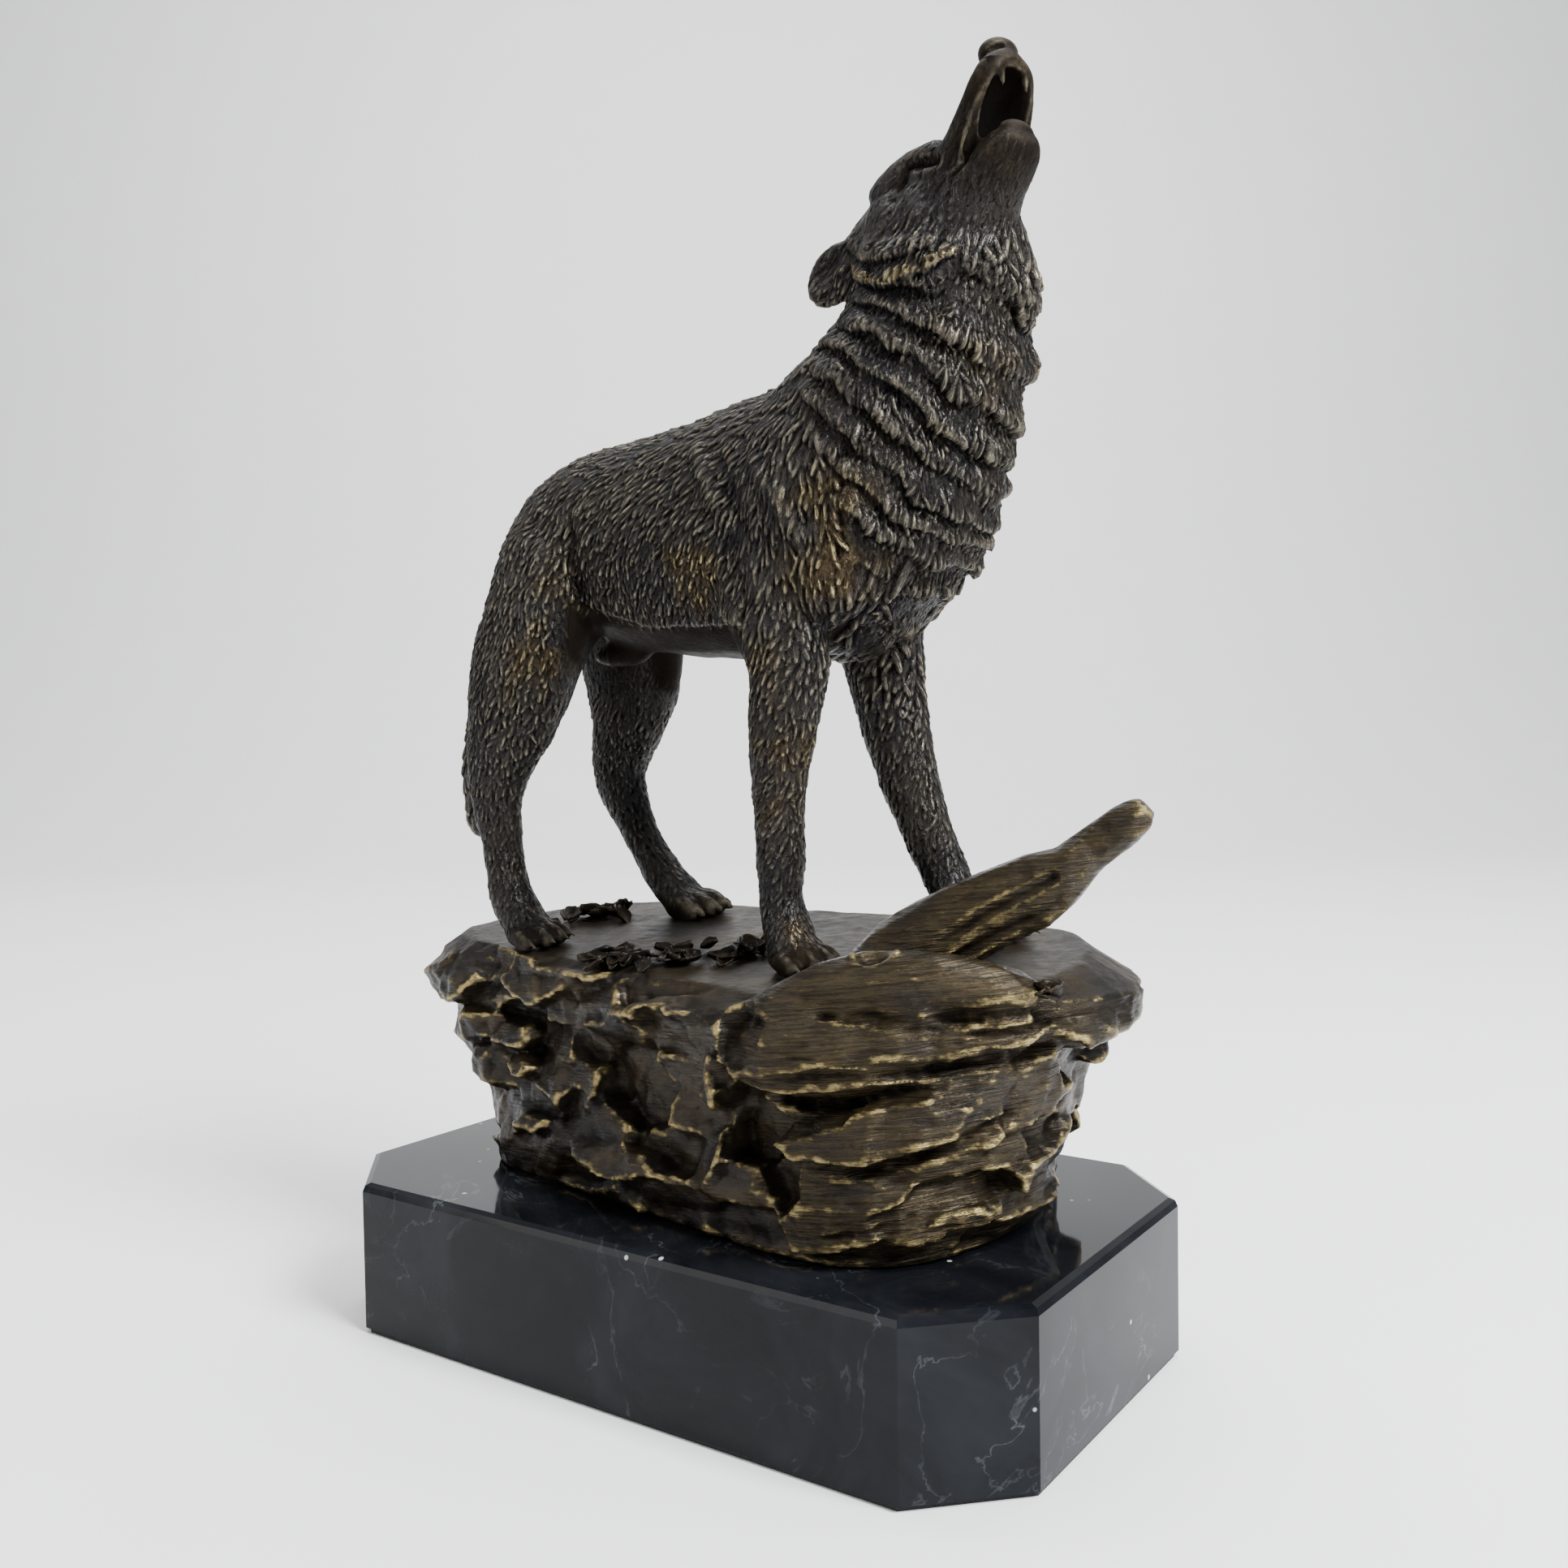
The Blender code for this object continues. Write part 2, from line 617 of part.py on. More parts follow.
def build_fixings(folder, cutters, rock, steel):
    """Studs into the rock, with a washer and a nut under each, all above the felt."""
    washer_top = PLINTH_BOTTOM + COUNTERBORE_DEPTH - SEAT_GAP
    nut_top = washer_top - WASHER_THICKNESS - SEAT_GAP
    stud_bottom = nut_top - NUT_HEIGHT - STUD_PAST_NUT
    stud_top = ROCK_BOTTOM + STUD_DEPTH_IN_ROCK
    for number, place in enumerate(stud_places(), 1):
        bore_size = STUD_DIAMETER + 2 * SEAT_GAP
        bore = prism(
            f"stud_bore_{number}", bore_size, ROCK_BOTTOM - 1 * MM, stud_top + SEAT_GAP, place, cutters
        )
        cut(rock, hidden(bore))
        stud = prism(f"fixing_stud_{number}", STUD_DIAMETER, stud_bottom, stud_top, place, folder)
        washer = prism(
            f"washer_{number}", WASHER_DIAMETER, washer_top - WASHER_THICKNESS, washer_top, place, folder
        )
        corners = NUT_ACROSS_FLATS / math.cos(math.pi / 6)
        nut = prism(f"nut_{number}", corners, nut_top - NUT_HEIGHT, nut_top, place, folder, 6)
        eye = prism(f"eye_{number}", bore_size, 0, ROCK_BOTTOM, place, cutters)
        for ring in (washer, nut):
            cut(ring, hidden(eye))
        for piece in (stud, washer, nut):
            piece.data.materials.append(steel)


def top_fall(y):
    """How far the rock's top stands above its middle at y, in mm."""
    return ROCK_TOP_FALL * y


def paw(bm, place, heading, pitch):
    """Pad, four toes and their claws, standing on the rock's top."""
    made = bmesh.new()
    ball(made, *PAW_PAD)
    for toe in TOES:
        side = toe * TOE_SPREAD
        reach = TOE_REACH - TOE_STEP_BACK * toe * toe
        claw_side = side + CLAW_REACH * math.tan(math.radians(toe * TOE_FAN)) / 2
        ball(made, (reach, side, TOE_SIZE[2]), TOE_SIZE, (0, TOE_DIP, toe * TOE_FAN))
        ball(made, (reach + CLAW_REACH, claw_side, CLAW_LEVEL), CLAW_SIZE, (0, CLAW_DIP, toe * TOE_FAN))
    slope = math.atan(ROCK_TOP_FALL)
    turned = Euler((slope, math.radians(-pitch), math.radians(heading))).to_matrix().to_4x4()
    move = Matrix.Translation((*place, top_fall(place[1]))) @ turned
    bmesh.ops.transform(made, verts=made.verts, matrix=move)
    join(bm, made)


def placed_head(bm):
    """The shapes in bm moved from the head's own frame to the neck, and bm itself."""
    place = Matrix.Translation((*HEAD_AXIS, 0)) @ Matrix.Rotation(math.radians(HEAD_TURN), 4, "Z")
    bmesh.ops.transform(bm, verts=bm.verts, matrix=place)
    return bm


def head_shapes():
    bm = bmesh.new()
    for stations in (SKULL, UPPER_JAW, LOWER_JAW):
        tube(bm, stations)
    ball(bm, *NOSE)
    level = (0, 0, 0)
    pairs = ((BROWS, level), (CHEEKS, level), (JOWLS, level), (EAR, EAR_TURN))
    for (centre, radii), turn in pairs:
        for place, turned in both_sides(centre, turn):
            ball(bm, place, radii, turned)
    return placed_head(bm)


def wolf_shapes():
    """The wolf's shapes before they are fused, in its drawn mm."""
    bm = bmesh.new()
    tube(bm, TRUNK)
    slices(bm, CHEST_AND_NECK)
    for limb in (FRONT_LEG_RIGHT, FRONT_LEG_LEFT, HIND_LEG_RIGHT, HIND_LEG_LEFT, TAIL):
        tube(bm, limb)
    for centre, radii, turn in MUSCLES:
        for place, turned in both_sides(centre, (0, turn, 0)):
            ball(bm, place, radii, turned)
    for place, heading, pitch in PAWS:
        paw(bm, place, heading, pitch)
    ball(bm, *SHEATH)
    join(bm, head_shapes())
    return bm


def wolf_to_world():
    """Drawn mm to metres, standing on the rock's top."""
    scale = MM * WOLF_HEIGHT / (WOLF_DRAWN_HEIGHT * MM)
    return Matrix.Translation((0, 0, ROCK_TOP)) @ Matrix.Scale(scale, 4)


def mane_rows(points):
    """Each row of the mane swells towards its lower edge and then steps in: 0 to 1."""
    x, y, z = points.T
    wave = np.array([noise.noise(Vector(p) / ROW_WAVE_REACH) for p in points])
    level = z + np.interp(z, *zip(*ROW_SLOPES)) * (x - ROW_MIDDLE) + ROW_WAVE * wave
    lowest, hang, spread = RUFF
    away = np.linalg.norm(points * (1, 0, 1) + (0, 1, 0) * abs(points) - lowest, axis=1)
    level += hang * np.exp(-0.5 * (away / spread) ** 2)
    share = (-level / ROW_STEP) % 1.0
    swell = share**1.3 * eased(1.0, 0.82, share)
    low, high = MANE_ENDS
    inside = eased(-MANE_BACK_FADE, MANE_BACK_FADE, x - np.interp(z, *zip(*MANE_BACK_EDGE)))
    inside *= eased(*low, z) * (1 - eased(*high, z + MANE_TOP_FALL * (x - ROW_MIDDLE)))
    out, down = MANE_OFF_LEGS
    on_leg = eased(*out, np.abs(y)) * eased(*down, z)
    return swell * inside * (1 - on_leg)


def distance_to_path(points, path):
    """Distance from each point to the nearest stretch of a path."""
    nearest = np.full(len(points), np.inf)
    for start, end in zip(path, path[1:]):
        run = np.subtract(end, start)
        share = np.clip((points - start) @ run / (run @ run), 0, 1)
        off = points - start - share[:, None] * run
        nearest = np.minimum(nearest, np.linalg.norm(off, axis=1))
    return nearest


def carve_wolf(mesh):
    """Rows of the mane and folds in the coat."""
    points = vectors_of(mesh, "co")
    normals = vectors_of(mesh, "normal")
    move = ROW_RISE * mane_rows(points)
    mirrored = points * (1, -1, 1)
    for path, reach, depth in FOLDS:
        for side in (points, mirrored):
            move -= depth * eased(reach, 0, distance_to_path(side, path))
    set_points(mesh, points + normals * move[:, None])


def ground_cutter(cutters):
    """The space under the paws, up to a seat gap above the rock's sloping top."""
    bm = bmesh.new()
    reach = PLINTH_LENGTH
    size = Matrix.Diagonal((2 * reach, 2 * reach, reach, 1))
    slope = Matrix.Rotation(math.atan(ROCK_TOP_FALL), 4, "X")
    place = Matrix.Translation((0, 0, ROCK_TOP + SEAT_GAP)) @ slope @ Matrix.Translation((0, 0, -reach / 2))
    bmesh.ops.create_cube(bm, size=1, matrix=place @ size)
    return hidden(add_object("ground", mesh_of(bm, "ground"), cutters))


def mouth_cutter(cutters):
    bm = bmesh.new()
    centre, radii, turn = MOUTH_HOLLOW
    ball(bm, centre, radii, (0, turn, 0))
    mesh = mesh_of(placed_head(bm), "mouth_hollow")
    mesh.transform(wolf_to_world())
    return hidden(add_object("mouth_hollow", mesh, cutters))


def build_wolf(folder, cutters, bronze):
    mesh = fused(wolf_shapes(), WOLF_VOXEL / MM, 5)
    carve_wolf(mesh)
    mesh = decimated(mesh, WOLF_TRIANGLES)
    mesh.transform(wolf_to_world())
    wolf = add_object("wolf", mesh, folder, bronze)
    cut(wolf, mouth_cutter(cutters))
    cut(wolf, ground_cutter(cutters))


def cut_top(bm):
    """Cut the block level with the sloping top that the paws stand on."""
    everything = bm.verts[:] + bm.edges[:] + bm.faces[:]
    cut_through = bmesh.ops.bisect_plane(
        bm,
        geom=everything,
        plane_co=(0, 0, ROCK_DRAWN_HEIGHT),
        plane_no=(0, -ROCK_TOP_FALL, 1),
        clear_outer=True,
    )
    rim = [found for found in cut_through["geom_cut"] if isinstance(found, bmesh.types.BMEdge)]
    bmesh.ops.holes_fill(bm, edges=rim)


def rock_shapes():
    bm = bmesh.new()
    rings = [[(x, y, z) for x, y in closed_spline(outline, 3)] for z, outline in ROCK_LEVELS]
    skin_rings(bm, rings)
    cut_top(bm)
    for wood in (LOG, BRANCH, TWIG):
        tube(bm, wood)
    for centre, radii, turn in BRANCH_KNOTS:
        ball(bm, centre, radii, (0, turn, 0))
    for (x, y, rise), size in LITTER:
        ball(bm, (x, y, ROCK_DRAWN_HEIGHT + rise), (1.6 * size, size, 0.6 * size), (0, 0, 37 * x))
    return bm


def face_distance(points, middle, along, reach):
    """How far points lie from a face's middle, in its own reaches, with their places on it."""
    off = points - middle
    run = off[:, :2] @ along
    rise = off[:, 2] - BED_DIP * run
    across = off[:, :2] @ (-along[1], along[0])
    return (run / reach[0]) ** 2 + (rise / reach[1]) ** 2 + (across / FACE_THROUGH) ** 2, run, rise


def along_of(normal):
    """Level direction along the surface where it has this normal."""
    side = np.array((-normal[1], normal[0]))
    return side / np.linalg.norm(side)


def rock_faces(points, normals, on_side):
    """The drawn faces, and seeded ones that fill the rest of the sides."""
    faces = []
    for middle, length, height, *shape in ROCK_FACES:
        nearest = np.argmin(((points - middle) ** 2).sum(1))
        faces.append((np.array(middle, float), along_of(normals[nearest]), (length, height), shape))
    rng = np.random.default_rng(FILL_SEED)
    free = on_side > 0.5
    for middle, along, reach, _ in faces:
        free &= face_distance(points, middle, along, reach)[0] > CLEAR_OF_DRAWN
    while free.any():
        pick = rng.choice(np.flatnonzero(free))
        shape = [rng.uniform(*limits) for limits in (FILL_OUT, FILL_LEAN, FILL_TURN)]
        face = (points[pick], along_of(normals[pick]), FILL_REACH, shape)
        faces.append(face)
        free &= face_distance(points, *face[:3])[0] > CLEAR_OF_FILL
    return faces


def hewn(points, faces):
    """How far out the faces lie: each point takes the nearest face, with a narrow blend between."""
    total, weights = np.zeros(len(points)), np.zeros(len(points))
    found = [face_distance(points, *face[:3]) for face in faces]
    least = np.min([away for away, *_ in found], axis=0)
    for (away, run, rise), (*_, (out, lean, turn)) in zip(found, faces):
        level = out - math.tan(math.radians(lean)) * rise - math.tan(math.radians(turn)) * run
        weight = np.exp((least - away) / FACE_BLEND)
        total += weight * np.clip(level, out - FACE_TILT_LIMIT, out + FACE_TILT_LIMIT)
        weights += weight
    return total / weights


def carve_rock(mesh):
    """Hewn faces, cracks and roughness in the sides, then the flats that the paws stand on."""
    points = vectors_of(mesh, "co")
    normals = vectors_of(mesh, "normal")
    top = ROCK_DRAWN_HEIGHT + top_fall(points[:, 1])
    on_side = eased(0.9, 0.5, abs(normals[:, 2])) * eased(top + 2, top - 3, points[:, 2])
    rough = np.array([noise.fractal(Vector(p) / ROCK_LUMPS, 0.9, 2.0, 3) for p in points])
    noise.seed_set(FACE_WARP_SEED)
    warp = np.array([noise.noise_vector(Vector(p) / FACE_WARP_LUMPS) for p in points])
    faces = rock_faces(points, normals, on_side)
    move = hewn(points + FACE_WARP * warp, faces) + ROCK_ROUGHNESS * rough
    flattened = np.array((CRACK_FLATNESS, CRACK_FLATNESS, 1))
    for start, end, depth in ROCK_CRACKS:
        away = distance_to_path(points * flattened, [start * flattened, end * flattened])
        move -= depth * eased(CRACK_WIDTH, CRACK_FLOOR, away)
    on_block = points[:, 2] < top + 0.4
    points += normals * (move * on_side * eased(0, 2, points[:, 2]))[:, None]
    points[:, 2] = np.maximum(points[:, 2], 0)
    points[:, 2] = np.where(on_block, np.minimum(points[:, 2], top), points[:, 2])
    by_paw = np.zeros(len(points), bool)
    for (x, y), *_ in PAWS:
        by_paw |= np.hypot(points[:, 0] - x, points[:, 1] - y) < PAW_FLAT_REACH
    top = ROCK_DRAWN_HEIGHT + top_fall(points[:, 1])
    near_top = points[:, 2] > top - PAW_FLAT_DEPTH
    points[:, 2] = np.where(near_top & by_paw, top, points[:, 2])
    set_points(mesh, points)


def build_rock(folder, bronze):
    mesh = fused(rock_shapes(), ROCK_VOXEL / MM, 3)
    carve_rock(mesh)
    mesh = decimated(mesh, ROCK_TRIANGLES)
    sizes = (
        ROCK_LENGTH / ROCK_DRAWN_LENGTH,
        ROCK_WIDTH / ROCK_DRAWN_WIDTH,
        ROCK_HEIGHT / ROCK_DRAWN_HEIGHT,
    )
    mesh.transform(Matrix.Translation((0, 0, ROCK_BOTTOM)) @ Matrix.Diagonal((*sizes, 1)))
    return add_object("rock", mesh, folder, bronze)


def main():
    clear_scene()
    folder = collection("howling_wolf")
    cutters = collection("cutters")
    bronze = material("patinated_bronze", (0.10, 0.075, 0.045), 0.45, 0.9)
    marble = material("black_marble", (0.012, 0.014, 0.018), 0.12, 0.0)
    felt = material("black_felt", (0.01, 0.01, 0.011), 0.95, 0.0)
    steel = material("zinc_plated_steel", (0.55, 0.56, 0.58), 0.35, 1.0)
    build_felt(folder, felt)
    build_plinth(folder, cutters, marble)
    rock = build_rock(folder, bronze)
    build_fixings(folder, cutters, rock, steel)
    build_wolf(folder, cutters, bronze)


main()
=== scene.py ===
"""Looks of the howling wolf figurine: fur, rock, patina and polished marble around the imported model.

Metres, +Z up, +X the way the wolf faces. Surface work is drawn in mm from the top of the rock.
"""

import math

import bmesh
import bpy
import numpy as np
from mathutils import Euler, Matrix, Vector, kdtree, noise


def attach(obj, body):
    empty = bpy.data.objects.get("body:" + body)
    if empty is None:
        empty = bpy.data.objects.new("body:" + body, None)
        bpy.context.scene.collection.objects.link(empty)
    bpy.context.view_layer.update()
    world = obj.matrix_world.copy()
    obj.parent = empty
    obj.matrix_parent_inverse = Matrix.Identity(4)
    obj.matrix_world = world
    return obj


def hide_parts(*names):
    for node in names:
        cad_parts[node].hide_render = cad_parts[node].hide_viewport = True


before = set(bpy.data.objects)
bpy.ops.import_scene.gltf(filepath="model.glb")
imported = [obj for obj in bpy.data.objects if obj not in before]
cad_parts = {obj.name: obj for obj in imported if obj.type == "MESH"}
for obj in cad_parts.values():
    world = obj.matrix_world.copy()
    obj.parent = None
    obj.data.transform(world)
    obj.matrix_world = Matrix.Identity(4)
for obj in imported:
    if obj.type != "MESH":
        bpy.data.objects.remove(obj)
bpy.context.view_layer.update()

MM = 0.001
ROCK_TOP = 90.0
SEED = 7

# The camera, from the photograph's perspective
CAMERA_PLACE = (0.1998, -0.2698, 0.1380)
CAMERA_LENS = 33.29
CAMERA_AZIMUTH = 34.90
CAMERA_PITCH = -2.05
CAMERA_ROLL = -0.89

COARSE = 1.0
WOLF_VOXEL = 0.44 * COARSE
ROCK_VOXEL = 0.65 * COARSE

# Fur guides on one side: place, way the fur lies, and the length, width and height of a lock
FUR = [
    ((-66, 0, 100), (-0.6, 0, -0.8), 3.8, 1.25, 0.42),
    ((-50, 0, 112), (-1, 0, -0.5), 4.0, 1.3, 0.46),
    ((-25, 0, 117), (-1, 0, -0.2), 4.2, 1.35, 0.50),
    ((10, 0, 122), (-1, 0, -0.3), 4.2, 1.35, 0.50),
    ((-30, 10, 114), (-1, 0, -0.45), 4.2, 1.3, 0.50),
    ((0, 14, 114), (-1, 0, -0.5), 4.2, 1.3, 0.50),
    ((18, 14, 118), (-0.9, 0, -0.6), 4.2, 1.35, 0.52),
    ((30, 6, 127), (-0.8, 0, -0.6), 4.4, 1.5, 0.56),
    ((-50, 15, 104), (-0.7, 0, -0.7), 3.8, 1.25, 0.46),
    ((-20, 21, 100), (-0.8, 0, -0.6), 4.0, 1.2, 0.48),
    ((5, 22, 100), (-0.75, 0, -0.65), 4.0, 1.2, 0.48),
    ((20, 23, 104), (-0.6, 0, -0.8), 4.2, 1.25, 0.48),
    ((-20, 20, 88), (-0.5, 0, -0.85), 3.8, 1.2, 0.46),
    ((5, 22, 88), (-0.5, 0, -0.85), 3.8, 1.2, 0.44),
    ((-20, 17, 77), (-0.1, 0, -1), 3.6, 1.15, 0.42),
    ((5, 20, 76), (-0.1, 0, -1), 3.6, 1.15, 0.42),
    ((28, 25, 100), (-0.1, 0, -1), 6.0, 1.3, 0.42),
    ((38, 23, 92), (0.1, 0, -1), 6.0, 1.3, 0.42),
    ((28, 25, 84), (-0.05, 0, -1), 5.5, 1.3, 0.40),
    ((38, 21, 78), (0.1, 0, -1), 5.0, 1.3, 0.42),
    ((26, 24, 68), (-0.4, 0, -1), 3.6, 1.2, 0.36),
    ((-36, 19, 96), (-0.45, 0, -0.9), 3.8, 1.2, 0.44),
    ((-48, 23, 90), (-0.3, 0, -1), 3.8, 1.2, 0.46),
    ((-38, 22, 78), (0.05, 0, -1), 3.8, 1.2, 0.46),
    ((-50, 26, 74), (-0.15, 0, -1), 3.8, 1.2, 0.44),
    ((-45, 26, 60), (-0.4, 0, -0.9), 3.6, 1.2, 0.40),
    ((-58, 24, 60), (-0.4, 0, -0.9), 3.6, 1.2, 0.40),
    ((-58, 23, 42), (-0.45, 0, -0.9), 3.2, 1.15, 0.30),
    ((-57, 22, 25), (-0.3, 0, -1), 2.8, 1.1, 0.22),
    ((24, 22, 50), (-0.5, 0, -0.9), 3.4, 1.15, 0.32),
    ((23, 20, 30), (-0.5, 0, -0.9), 3.0, 1.1, 0.26),
    ((23, 20, 14), (-0.3, 0, -1), 2.8, 1.05, 0.20),
    ((33, 16, 48), (-0.15, 0, -1), 3.4, 1.15, 0.30),
    ((41, 16, 24), (0.0, 0, -1), 3.0, 1.1, 0.26),
    ((50, 16, 8), (0.4, 0, -1), 2.8, 1.05, 0.16),
    ((-50, 18, 30), (0.3, 0, -1), 3.0, 1.1, 0.24),
    ((-40, 18, 12), (0.5, 0, -1), 2.8, 1.05, 0.18),
    ((-74, 0, 82), (-0.35, 0, -1), 5.5, 1.5, 0.55),
    ((-80, 0, 58), (-0.2, 0, -1), 6.0, 1.6, 0.65),
    ((-85, 0, 34), (-0.15, 0, -1), 6.0, 1.6, 0.65),
    ((-40, 8, 68), (-0.1, 0, -1), 3.0, 1.1, 0.05),
    ((0, 6, 66), (-1, 0, -0.1), 3.0, 1.1, 0.03),
    ((-20, 0, 68), (-1, 0, -0.1), 3.0, 1.1, 0.03),
    ((45, 18, 128), (-0.15, 0, -1), 6.5, 2.1, 1.0),
    ((52, 19, 112), (0, 0, -1), 7.0, 2.3, 1.15),
    ((46, 21, 98), (0, 0, -1), 7.0, 2.2, 1.1),
    ((62, 9, 100), (0.05, 0, -1), 7.0, 2.6, 1.35),
    ((70, 0, 118), (0, 0, -1), 7.0, 2.6, 1.35),
    ((66, 6, 134), (0, 0, -1), 6.5, 2.3, 1.2),
    ((56, 12, 82), (-0.1, 0, -1), 7.0, 2.4, 1.2),
    ((40, 8, 70), (-0.4, 0, -1), 6.0, 2.2, 1.0),
    ((36, 6, 138), (-0.4, 0, -1), 4.5, 1.5, 0.6),
    ((54, 15, 142), (-0.3, 0, -1), 4.5, 1.7, 0.8),
    ((31, 12, 145), (-0.8, 0, -0.3), 2.6, 1.0, 0.04),
    ((28, 13, 143), (-0.8, 0, -0.3), 2.6, 1.0, 0.04),
    ((46, 9, 155), (-0.7, 0, -0.7), 2.8, 1.0, 0.10),
    ((50, 10, 158), (-0.6, 0, -0.8), 2.8, 1.0, 0.09),
    ((55, 12, 152), (-0.55, 0, -0.85), 2.8, 1.0, 0.12),
    ((60, 12, 153), (-0.45, 0, -0.9), 2.8, 1.0, 0.10),
    ((60, 10, 160), (-0.45, 0, -0.9), 2.6, 1.0, 0.06),
    ((66, 12, 165), (-0.45, 0, -0.9), 2.4, 1.1, 0.07),
    ((70, 12, 176), (-0.5, 0, -0.9), 2.4, 1.1, 0.03),
    ((76, 12, 156), (-0.4, 0, -0.9), 2.4, 1.1, 0.05),
]
GUIDE_REACH = 8.0

# Mane: slope of its rows at rising heights, the step between rows, their waves, and the cheek's ruff
ROW_SLOPES = [(66, 0.1), (78, 0.3), (90, 1.05), (110, 1.0), (124, 0.75), (138, 0.35), (150, 0.1)]
ROW_MIDDLE = 50
ROW_STEP = 8.4
ROW_WAVE, ROW_WAVE_REACH = 2.6, 11
RUFF_PLACE, RUFF_HANG, RUFF_SPREAD = (54, 17, 137), 6.5, 6
MANE_BACK_EDGE = [(64, 34), (80, 40), (98, 42), (116, 33), (128, 36), (140, 44)]
ROW_DEEPER = 1.3
RUFF_RISE = 1.3
FUR_EDGE_RISE, FUR_EDGE_REACH = 0.7, 7
UNDULATION, UNDULATION_SIZE = 0.25, 6

# Locks against their guides: space between them, length, width, height, and their turn in radians
BODY_LOCK = (0.95, 1.5, 1.15, 1.5, 0.26)
MANE_LOCK = (0.52, 0.92, 0.85, 0.85, 0.35)
RUFF_LOCK = (0.5, 0.7, 0.6, 0.75, 0.25)
UNDER_LOCK = (0.5, 0.6, 0.6, 0.5, 0.35)
MANE_LOCK_RIBS = 1.6
# Locks on a row of the mane: place down the row, size and rise
MANE_TIERS = [(0.64, 0.9, 1.0), (0.38, 0.75, 0.7), (0.1, 0.7, 0.55)]
TIER_HALF_WIDTH = 0.09

# Limits between the wolf's pieces
HEAD_FROM, HEAD_LEAN = 72, 0.35
LEGS_BELOW = 62
HIPS_BEHIND = -12

# The head's own frame: it looks along X from the neck's axis and is turned about it
HEAD_PLACE = Matrix.Translation((44, 0, 0)) @ Matrix.Rotation(math.radians(-18), 4, "Z")

# Modelling strokes on both sides: points along the stroke, its reach, and its rise or depth
HEAD_STROKES = [
    ([(13.8, -9.9, 160.7), (16, -9.9, 160.5), (20.4, -9.2, 159.6)], 1.9, -1.2),
    ([(13.6, -9.8, 160.4), (19.2, -9.4, 159.7)], 0.8, -0.6),
    ([(14.0, -10.2, 158.6), (18.5, -9.8, 157.9)], 1.6, 0.4),
    ([(12.9, -9.7, 160.0), (12.4, -10.6, 157.5), (12.2, -12.4, 153.6)], 2.2, -0.7),
    ([(16.6, -10.5, 153.5), (17.4, -11, 150.5)], 5.5, 1.1),
    ([(26.3, -7.8, 157.3), (24.2, -8.8, 155.8)], 1.0, -1.0),
    ([(26.8, -8.0, 158.2), (28.8, -7.5, 161.4), (30.6, -6.8, 164.4)], 1.5, -1.7),
    ([(32.2, -2.4, 179.6), (31.0, -4.2, 178.8)], 1.1, -1.1),
    ([(20, -6.8, 163), (26, -6.4, 171)], 1.6, -0.35),
    ([(-9, -13.9, 144), (-6, -14.3, 146.5)], 3.4, -1.3),
]
BODY_STROKES = [
    ([(4, -19, 109), (9, -22, 101), (15, -23.5, 92)], 3.2, 1.0),
    ([(22, -22, 104), (28, -24.5, 97), (33, -24.5, 88)], 3.2, 1.1),
    ([(12, -21, 105), (20, -24, 92)], 3.4, -0.8),
    ([(-41, -22.5, 90), (-42.5, -24, 76), (-43, -24, 62)], 3.2, 0.7),
    ([(-34, -20, 99), (-33.4, -19, 88), (-32.4, -16.8, 78)], 1.7, -1.3),
    ([(19.2, -25, 81), (19.6, -25.6, 75), (18.6, -24.5, 69)], 1.5, -1.3),
    ([(44, -22, 100), (44, -21, 84)], 3.4, 0.7),
    ([(-50, -16, 107), (-44, -19, 100)], 3.0, 0.6),
    ([(-60, -22, 45), (-55, -22, 38)], 1.6, -0.5),
]
# The fur ends over the bare belly at these heights
BELLY_EDGE = [(-36, 80), (-32.6, 78.5), (-15.7, 73), (14.6, 71.7), (19, 70)]
BELLY_BACK, BELLY_FRONT = -36, 19

# The open mouth in the head's frame: where its lips start, how they lean, its size and its corner
MOUTH_X, MOUTH_LOW, MOUTH_HIGH, MOUTH_LEAN = 26.0, 157, 176.5, 0.42
MOUTH_LIP_FOOT = 157.5
MOUTH_DEPTH, MOUTH_HALF_WIDTH = 7.5, 6.3
MOUTH_CORNER = [(26.8, -7.6, 158.2), (30.6, -6.2, 164.4)]

# The cheek's ruff: lower edges of its two rows in the head's frame
RUFF_ROWS = [
    [(-1, -12.3, 147.6), (5, -13.6, 143.6), (11.7, -14.9, 141.1), (17.4, -12.9, 141.6), (20.3, -10.9, 142.6)],
    [(-0.4, -12, 143.6), (4, -13.6, 139.4), (11.1, -15, 136.2), (20.3, -11.9, 137.4), (24, -8.9, 140)],
]

# The head's clay in its own frame: the lips of one side, and the brow as x, z and radius
LIP = [(26.0, -7.9, 157.4), (27.2, -8.0, 162.5), (29.8, -7.6, 168), (32.1, -5.9, 173), (33.2, -2.6, 175.8)]
LIP_RADIUS, LIP_END_RADIUS = 0.75, 0.55
BROW = [
    (3, 154, 6),
    (6.5, 157, 5.6),
    (9.5, 159.2, 5.2),
    (12.5, 160.8, 4.5),
    (16, 161.3, 4),
    (20.5, 162.6, 3.4),
]
BROW_OFF_MIDDLE, BROW_CLOSING = 7.6, 0.13
CANINE_RADII = (1.35, 1.0, 0.25)

# Paws: middle of the toes, heading and pitch in degrees
PAWS = [((30.5, -20.5), -14, 6), ((57, 16.5), 0, 4), ((-45.5, -21), -6, 6), ((-28.5, 18), 4, 8)]
TOP_FALL = 0.11


def cad_node(name):
    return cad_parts[name]


def smoothstep(low, high, value):
    share = np.clip((value - low) / (high - low), 0.0, 1.0)
    return share * share * (3 - 2 * share)


def unit(vectors):
    return vectors / np.maximum(np.linalg.norm(vectors, axis=-1, keepdims=True), 1e-9)


